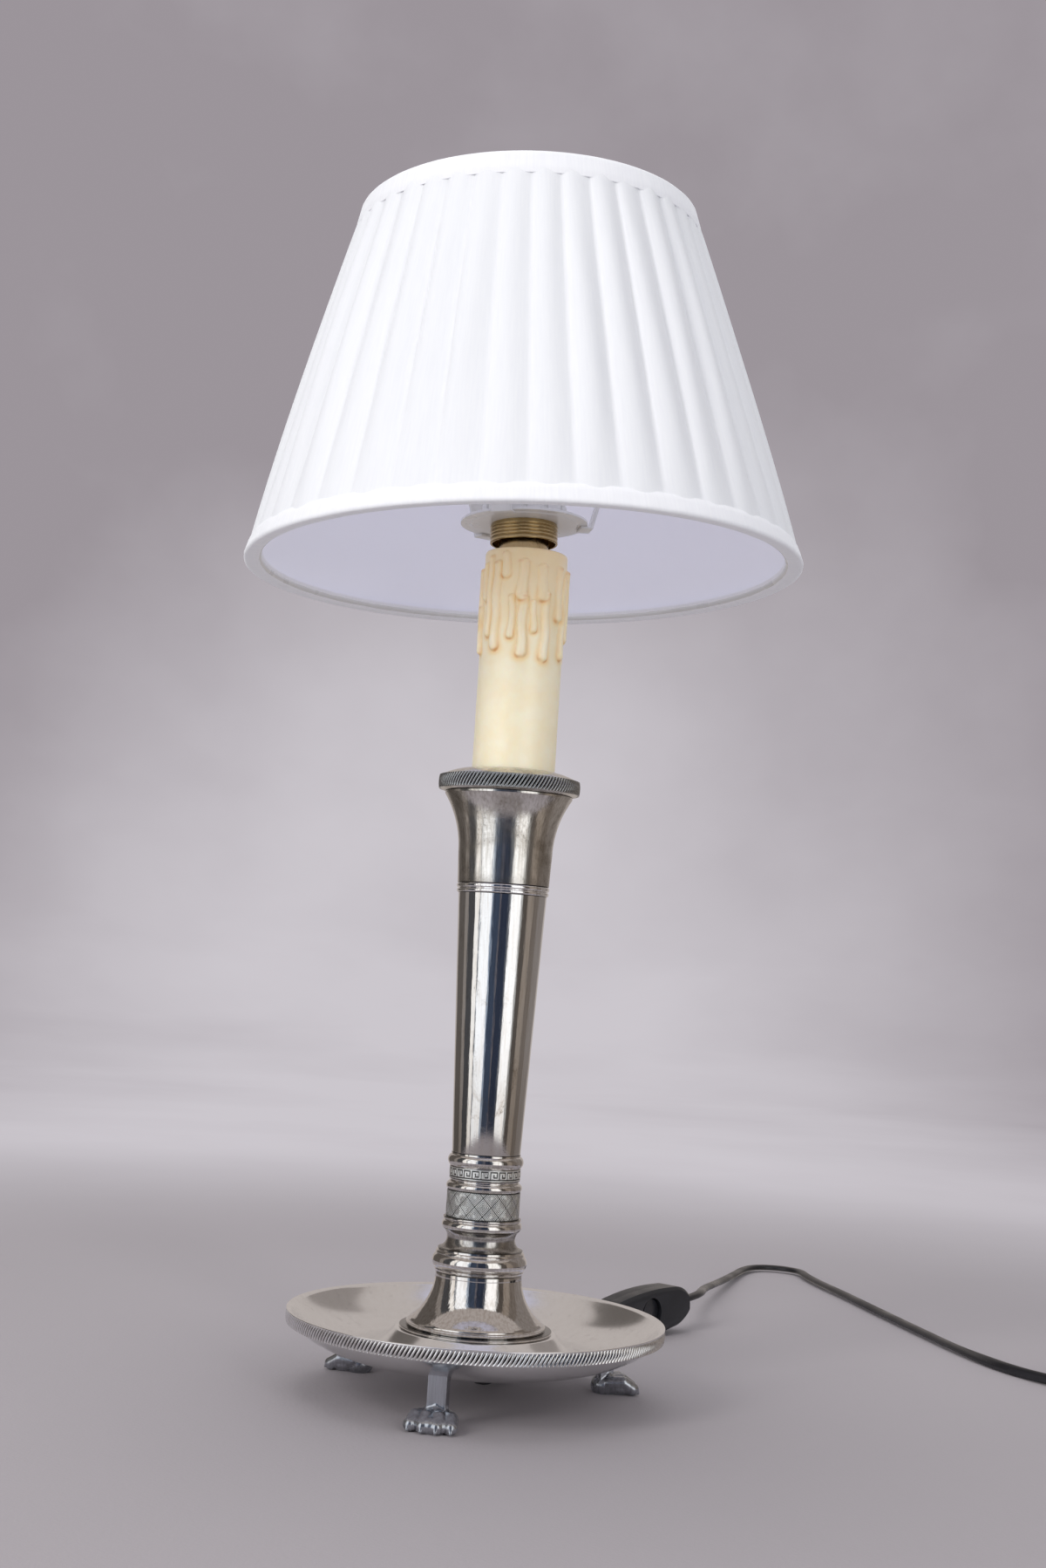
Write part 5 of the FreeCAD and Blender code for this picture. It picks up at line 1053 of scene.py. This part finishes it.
def eased(node, finish, slot, body="base", width=0.3, segments=3):
    name = node + "_eased"
    shell = bmesh.new()
    shell.from_mesh(frame["nodes"][node].data)
    bmesh.ops.remove_doubles(shell, verts=shell.verts, dist=2e-6)
    bmesh.ops.dissolve_limit(shell, angle_limit=FLAT_WITHIN, verts=shell.verts, edges=shell.edges)
    blank = placed(name + "_blank", from_shell(name, shell))
    bevel = blank.modifiers.new("ease", "BEVEL")
    bevel.width = width * MM
    bevel.segments = segments
    bevel.limit_method = "ANGLE"
    bevel.angle_limit = HARD_EDGE
    bevel.harden_normals = False
    return dressed(name, smooth(cleaned(baked(blank)), 35), finish, slot, body, node)


eased("holder_barrel", AGED_BRASS, "aged_brass", width=0.25)
eased("upper_shade_ring", WHITE_PLASTIC, "white_plastic", "upper_ring")
for side in ("front", "right", "left"):
    eased(side + "_arm", WHITE_ENAMEL, "white_enamel", "shade")
for node in ("switch_front_shell", "switch_back_shell"):
    eased(node, BLACK_PLASTIC, "black_plastic", width=0.7, segments=4)
eased("switch_rocker", BLACK_PLASTIC, "black_plastic", "rocker", width=0.6, segments=4)
eased("plug_body", BLACK_PLASTIC, "black_plastic", width=1.2, segments=4)
eased("coil_tie", BLACK_PLASTIC, "black_plastic")
for node in ("base_nut", "holder_locknut", "base_washer"):
    eased(node, ZINC_STEEL, "steel")

# %% [markdown]
# The shade is cloth on two wire rings: a smooth lining, a cover of even pleats, and a tape folded over each
# edge. Cloth is modelled as thin sheets of its own flat size. Each pleat swells to a soft crest and sinks to
# the next root; the tapes press it flat, so it stands fullest between.

# %% The shade's sizes, on the leaning axis
SHADE_RISE = -3.6
SHADE_HEIGHT = 163.1
BOTTOM_RADIUS = 124.7
TOP_RADIUS = 76.6
TAPE_THICKNESS = 0.8
PLEATS = 40
LINER_GAP = 3.0


def shade_radius(height):
    """The outside of the shade's tapes at a height above its bottom edge."""
    return BOTTOM_RADIUS + (TOP_RADIUS - BOTTOM_RADIUS) * height / SHADE_HEIGHT


def cloth_height(row):
    """The height of a row of the cover or the lining, which end inside the tapes."""
    return TAPE_THICKNESS + (SHADE_HEIGHT - 2 * TAPE_THICKNESS) * row


def sheet_mesh(name, rows, columns, place, across, along):
    """A sheet of cloth joined to a ring, from place(column, row), with its own map in metres."""
    verts = [place(column / columns, row / rows) for row in range(rows + 1) for column in range(columns)]
    faces = []
    maps = []
    for row in range(rows):
        here, there = row * columns, (row + 1) * columns
        for column in range(columns):
            beside = (column + 1) % columns
            faces.append((here + column, here + beside, there + beside, there + column))
            for step, level in ((0, 0), (1, 0), (1, 1), (0, 1)):
                maps += [(column + step) / columns * across, (row + level) / rows * along]
    mesh = meshed(name, verts, faces)
    mesh.uv_layers.new(name="cloth").data.foreach_set("uv", maps)
    return mesh


def thickened(name, mesh, thickness, offset):
    """Give a sheet its thickness, to one side of it or about its middle, and lean it."""
    sheet = placed(name + "_sheet", mesh)
    solid = sheet.modifiers.new("thickness", "SOLIDIFY")
    solid.thickness = thickness * MM
    solid.offset = offset
    result = baked(sheet)
    result.transform(LEAN)
    return smooth(result, 75)


# %% The pleated cover
PLEAT_PROUD = 3.3
PLEAT_ROOT = 0.2
PLEAT_LIFT = 1.3
PLEAT_CREST = 0.42


def pleat_fullness(height):
    """How far the pleats stand open, between the tapes."""
    return 0.1 + 0.9 * math.sin(math.pi * clamped(height)) ** 0.55


def pleat_place(column, row):
    """A place on the cover; each pleat swells from its root to a soft crest and sinks to the next root."""
    height = cloth_height(row)
    turn = column * PLEATS
    pleat = int(turn + 1e-9)
    part = turn - pleat
    uneven = noise.noise(Vector((pleat * 3.7, 0.3, row * 1.4)))
    full = pleat_fullness(row) * (1 + 0.5 * noise.noise(Vector((pleat * 5.1, 9.0, row * 1.1))))
    crest = PLEAT_CREST + 0.16 * uneven
    if part < crest:
        swell = math.sin(math.pi / 2 * part / crest) ** 0.8
    else:
        swell = math.cos(math.pi / 2 * (part - crest) / (1 - crest)) ** 1.15
    stand = PLEAT_ROOT + PLEAT_LIFT * (1 - pleat_fullness(row)) + PLEAT_PROUD * full * swell
    angle = 2 * math.pi * (pleat + part + 0.06 * uneven * full * math.sin(math.pi * part)) / PLEATS
    radius = shade_radius(height) - LINER_GAP + stand
    return swung(radius, angle, height + SHADE_RISE) * MM


cover_sheet = sheet_mesh("pleated_cover_sewn", 44, PLEATS * 16, pleat_place, 0.90, 0.170)
cover = dressed("pleated_cover_sewn", thickened("cover", cover_sheet, 0.3, -1), PLEATED_COTTON, "shade_fabric",
                "shade", "pleated_cover")


# %% The lining and the two tapes
def lining_place(column, row):
    height = cloth_height(row)
    angle = 2 * math.pi * column
    slack = 0.12 * noise.noise(swung(4, angle, row * 2))
    return swung(shade_radius(height) - LINER_GAP - 0.45 + slack, angle, height + SHADE_RISE) * MM


lining_sheet = sheet_mesh("lining_sewn", 24, 240, lining_place, 0.77, 0.168)
lining = dressed("lining_sewn", thickened("lining", lining_sheet, 0.4, 0), LINING, "shade_lining", "shade",
                 "shade_liner")
TAPE_ROWS = 22
TAPE_COLUMNS = 420


def tape_sheet(name, outline, lively, length):
    """A tape folded round an edge: its section is a list of radius and height, and it creases a little."""
    runs = [0.0]
    for before, after in zip(outline, outline[1:]):
        runs.append(runs[-1] + math.dist(before, after))

    def place(column, row):
        reach = row * runs[-1]
        index = max(i for i, run in enumerate(runs[:-1]) if run <= reach + 1e-9)
        share = (reach - runs[index]) / (runs[index + 1] - runs[index])
        radius, height = (a + (b - a) * share for a, b in zip(outline[index], outline[index + 1]))
        angle = 2 * math.pi * column
        crease = noise.noise(swung(14, angle, row * 3))
        fine = noise.noise(Vector((math.cos(angle) * 45, math.sin(angle) * 45 + row * 9, row * 4)))
        radius += lively * (0.6 * crease + 0.4 * fine)
        return swung(radius, angle, height + SHADE_RISE) * MM

    return sheet_mesh(name, TAPE_ROWS, TAPE_COLUMNS, place, length, runs[-1] * MM), runs[-1]


BOTTOM_TAPE = 8.5
TOP_TAPE = 10.5
TAPE_RETURN = 4.2
WIRE_WRAP = 5.2
bottom_edge = shade_radius(0) - 0.35
bottom_outline = [(shade_radius(BOTTOM_TAPE) - 1.3, BOTTOM_TAPE),
                  (shade_radius(BOTTOM_TAPE - 2) - 0.6, BOTTOM_TAPE - 2), (shade_radius(1.2) - 0.35, 1.2),
                  (bottom_edge - 0.6, 0.4), (bottom_edge - 1.8, 0.3), (bottom_edge - WIRE_WRAP, 0.3),
                  (bottom_edge - WIRE_WRAP - 1.4, 0.9), (bottom_edge - WIRE_WRAP - 2.4, 2.1),
                  (bottom_edge - WIRE_WRAP - 3.0, TAPE_RETURN)]
top_edge = shade_radius(SHADE_HEIGHT) - 0.35
top_outline = [(shade_radius(SHADE_HEIGHT - TOP_TAPE) - 1.4, SHADE_HEIGHT - TOP_TAPE),
               (shade_radius(SHADE_HEIGHT - TOP_TAPE + 2.5) - 0.7, SHADE_HEIGHT - TOP_TAPE + 2.5),
               (top_edge + 0.2, SHADE_HEIGHT - 1.0), (top_edge - 0.4, SHADE_HEIGHT - 0.35),
               (top_edge - WIRE_WRAP - 1.6, SHADE_HEIGHT - 0.35), (top_edge - WIRE_WRAP - 2.5, SHADE_HEIGHT - 0.8),
               (top_edge - WIRE_WRAP - 2.7, SHADE_HEIGHT - TAPE_RETURN)]
bottom_sheet, bottom_width = tape_sheet("bottom_tape_sewn", bottom_outline, 0.22, 0.78)
top_sheet, top_width = tape_sheet("top_tape_sewn", top_outline, 0.12, 0.49)
bottom_tape = dressed("bottom_tape_sewn", thickened("bottom_tape", bottom_sheet, 0.45, 0), TAPE, "trim_tape",
                      "shade", "bottom_trim")
top_tape = dressed("top_tape_sewn", thickened("top_tape", top_sheet, 0.45, 0), TAPE, "trim_tape", "shade",
                   "top_trim")

# %% [markdown]
# Inside the shade sits an opal bulb in its bayonet cap. It hardly shows, but it is there when the lamp is
# looked into from below or above.

# %% The bulb
BULB_FOOT = 25.5
GLASS_FOOT = 46.0
turned_leaning("bulb_cap", BULB_FOOT, [(0, 0, 0), (8.2, 0, 0), (8.6, 0.8, 0), (10, 1.2, 0), (11, 2.4, 0),
                                       (11, 24.6, 0), (10.6, 25, 0), (10.6, 26, 0), (10.2, 26, 0), (10.2, 2, 0),
                                       (0, 2, 0)], CAP_METAL, "cap_metal", "bulb")
turned_leaning("bulb_glass", GLASS_FOOT, [(9.15, 0, 0), (10.05, 0, 0), (10.05, 6, 0), (13.8, 11.5, 1.2),
                                          (22.2, 26.2, 2.4), (30, 54.5, 8.7), (0, 84.5, 0), (0, 83.6, -8.4),
                                          (29.1, 54.5, -2.4), (21.3, 26.4, -1.2), (12.9, 11.9, 0),
                                          (9.15, 6.3, 0)], OPAL_GLASS, "opal_glass", "bulb", ease=0.6)

# %% The solids that stay as they are take their finishes
STAYS = {"candle_seat": BRIGHT_BRASS, "contact_plungers": BRIGHT_BRASS, "switch_terminals": BRIGHT_BRASS,
         "contact_lever": BRIGHT_BRASS, "bulb_pins": BRIGHT_BRASS, "plug_pins": BRIGHT_BRASS,
         "holder_insulator": PHENOLIC, "top_wire_ring": WHITE_ENAMEL, "bottom_wire_ring": WHITE_ENAMEL,
         "cord_bush": BLACK_PLASTIC, "inner_flex": BLACK_FLEX, "centre_tube": ZINC_STEEL,
         "switch_screws": ZINC_STEEL}
for node, finish in STAYS.items():
    give_finish(frame["nodes"][node].data, finish)
print("solids that stay", len(STAYS))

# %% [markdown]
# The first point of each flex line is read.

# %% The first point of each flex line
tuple(lamp_line[0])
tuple(plug_line[0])

# %% [markdown]
# The lamp stands on grey-mauve seamless paper on a table. The paper is a wide floor that curves up into a
# wall all round, so that every view has it behind the lamp; only the floor near the lamp takes light and
# shadow. The wall's light is painted: it glows, brightest near one place and dimmer away from it. Polished
# metal looks past the table's edge into the room, so for glossy rays the paper ends there.

# %% The paper
FLOOR_COLOUR = (0.435, 0.40, 0.415, 1)
WALL_PAINTED_LIGHT = (0.60, 0.57, 0.61, 1)
WALL_PAINTED_SHADE = (0.33, 0.298, 0.325, 1)
TABLE_RADIUS = 0.38
PAPER_PROFILE = [(0.0, 0.0), (0.5, 0.0), (1.0, 0.0), (1.6, 0.0), (2.2, 0.0), (2.7, 0.06), (3.1, 0.25), (3.4, 0.6),
                 (3.55, 1.1), (3.6, 2.0), (3.6, 4.0)]


def paper_mesh():
    segments = 96
    rings = [[swung(reach, angle, height) for reach, height in PAPER_PROFILE]
             for angle in np.linspace(0, 2 * math.pi, segments, endpoint=False)]
    count = len(PAPER_PROFILE)
    faces = []
    for segment in range(segments):
        here, there = segment * count, (segment + 1) % segments * count
        for level in range(count - 1):
            faces.append((here + level, there + level, there + level + 1, here + level + 1))
    return smooth(cleaned(meshed("paper", [place for ring in rings for place in ring], faces)), 80)


def shown(tree, shader):
    """Make a shader the surface of its material."""
    tree.links.new(shader, tree.nodes["Material Output"].inputs["Surface"])


def paper_finish():
    material, tree, shader = new_material("seamless_paper")
    place = object_place(tree)
    mottle = noisy(tree, place, 1.6, 5.0)
    worn = tuple(0.93 * part for part in FLOOR_COLOUR[:3]) + (1,)
    fed(tree, shader.inputs, {"Base Color": mixed(tree, ramped(tree, mottle, 0.3, 0.7), FLOOR_COLOUR, worn),
                              "Roughness": 0.85})
    bumped(tree, shader, noisy(tree, place, 600.0, 2.0), 0.0004, 0.3)
    reach = put(tree, "ShaderNodeVectorMath", {0: place}, operation="LENGTH").outputs["Value"]
    path = put(tree, "ShaderNodeLightPath").outputs
    seen = worked(tree, "MAXIMUM", path["Is Camera Ray"], path["Is Glossy Ray"])
    seen = worked(tree, "MAXIMUM", seen, path["Is Transmission Ray"])
    # Painted light: the wall glows brightest near one place and dims with the distance from it.
    painted_light_offset = put(tree, "ShaderNodeMapping", {"Vector": place, "Location": (0.05, 0.0, -0.2),
                                          "Scale": (1.0, 0.0, 1.0)}).outputs["Vector"]
    away = put(tree, "ShaderNodeVectorMath", {0: painted_light_offset}, operation="LENGTH").outputs["Value"]
    painted_falloff = worked(tree, "ADD", eased_range(tree, away, 0.1, 1.5), ramped(tree, mottle, 0.3, 0.7, -0.15, 0.15))
    painted_wall_glow = put(tree, "ShaderNodeEmission", {"Color": mixed(tree, painted_falloff, WALL_PAINTED_LIGHT, WALL_PAINTED_SHADE)}).outputs[0]
    clear = put(tree, "ShaderNodeBsdfTransparent").outputs[0]
    wall = put(tree, "ShaderNodeMixShader", {0: seen, 1: clear, 2: painted_wall_glow}).outputs[0]
    blend = put(tree, "ShaderNodeMixShader", {0: eased_range(tree, reach, 0.42, 1.1), 1: shader.outputs[0],
                                              2: wall}).outputs[0]
    beyond = worked(tree, "MULTIPLY", eased_range(tree, reach, TABLE_RADIUS, TABLE_RADIUS + 0.04),
                    path["Is Glossy Ray"])
    shown(tree, put(tree, "ShaderNodeMixShader", {0: beyond, 1: blend, 2: clear}).outputs[0])
    return material


paper = placed("paper", paper_mesh())
paper.data.materials.append(paper_finish())

# %% [markdown]
# What makes silver look like silver is the room in it: two bright windows in front to the left and right,
# dark furniture between and beside them. A curved screen that only glossy rays meet carries that room as
# upright stripes, so the turned pieces pick it up as the long bright and dark lines of polished metal.

# %% The room in the silver
ROOM_REACH = 1.4
ROOM_LOW = -1.1
ROOM_HIGH = 1.5
ROOM_HALF_ANGLE = 150
# Stripes of the room: where each starts, in degrees from straight ahead, and its colour and brightness.
ROOM_STRIPES = [(-150, (0.13, 0.115, 0.105)), (-112, (0.30, 0.27, 0.25)), (-98, (0.08, 0.08, 0.085)),
                (-74, (1.25, 1.22, 1.18)), (-62, (0.16, 0.18, 0.21)), (-58, (1.35, 1.38, 1.42)),
                (-29, (0.42, 0.50, 0.62)), (-24, (0.055, 0.075, 0.12)), (-7, (0.16, 0.15, 0.17)),
                (-3, (0.035, 0.045, 0.075)), (17, (0.16, 0.17, 0.19)), (22, (1.45, 1.45, 1.45)),
                (50, (0.55, 0.55, 0.54)), (55, (0.11, 0.095, 0.085)), (70, (0.33, 0.28, 0.24)),
                (88, (0.20, 0.17, 0.15)), (110, (0.27, 0.24, 0.225)), (150, (0.27, 0.24, 0.225))]


def room_mesh():
    steps = 60
    verts = []
    for step in range(steps + 1):
        angle = math.radians(-90 + ROOM_HALF_ANGLE * (2 * step / steps - 1))
        verts += [swung(ROOM_REACH, angle, height) for height in (ROOM_LOW, ROOM_HIGH)]
    return meshed("room_screen", verts, [(2 * step, 2 * step + 1, 2 * step + 3, 2 * step + 2)
                                         for step in range(steps)])


def room_finish():
    material, tree, _ = new_material("room_in_the_silver")
    sides = put(tree, "ShaderNodeSeparateXYZ", {0: object_place(tree)}).outputs
    angle = worked(tree, "ARCTAN2", sides["X"], worked(tree, "MULTIPLY", sides["Y"], -1.0))
    half = math.radians(ROOM_HALF_ANGLE)
    stripes = put(tree, "ShaderNodeValToRGB", {0: ramped(tree, angle, -half, half)})
    ramp = stripes.color_ramp
    ramp.interpolation = "CONSTANT"
    ramp.elements[0].color = (*ROOM_STRIPES[0][1], 1)
    ramp.elements[1].color = (*ROOM_STRIPES[-1][1], 1)
    for start, colour in ROOM_STRIPES[1:-1]:
        ramp.elements.new((start + ROOM_HALF_ANGLE) / (2 * ROOM_HALF_ANGLE)).color = (*colour, 1)
    shown(tree, put(tree, "ShaderNodeEmission", {"Color": stripes.outputs["Color"]}).outputs[0])
    return material


room = placed("room_screen", room_mesh())
room.data.materials.append(room_finish())
for kind in ("camera", "diffuse", "transmission", "volume_scatter", "shadow"):
    setattr(room, f"visible_{kind}", False)


# %% The lamps and the room's own light
def area_lamp(name, place, target, size, power, colour=(1, 1, 1)):
    data = bpy.data.lights.new(name, "AREA")
    data.shape = "RECTANGLE"
    data.size, data.size_y = size
    data.energy = power
    data.color = colour
    lamp = placed(name, data)
    way = (Vector(target) - Vector(place)).to_track_quat("-Z", "Y")
    lamp.matrix_world = Matrix.Translation(place) @ way.to_matrix().to_4x4()
    lamp.visible_glossy = False


area_lamp("left_window", (-1.35, -1.5, 0.95), (0, 0, 0.25), (0.55, 1.5), 19.0, (1.0, 0.99, 0.975))
area_lamp("right_window", (0.95, -1.85, 0.85), (0, 0, 0.25), (0.4, 1.3), 8.0)
area_lamp("overhead", (-0.2, 0.3, 2.3), (0, 0, 0.1), (1.6, 1.6), 14.0)

ROOM_LIGHT = (0.93, 0.94, 1.0, 1)
CEILING_IN_SILVER = (0.62, 0.56, 0.53, 1)
world = bpy.data.worlds.new("room")
bpy.context.scene.world = world
world.use_nodes = True
tree = world.node_tree
glossy = put(tree, "ShaderNodeLightPath").outputs["Is Glossy Ray"]
fed(tree, tree.nodes["Background"].inputs, {"Color": mixed(tree, glossy, ROOM_LIGHT, CEILING_IN_SILVER),
                                            "Strength": ramped(tree, glossy, 0.0, 1.0, 0.55, 0.8)})
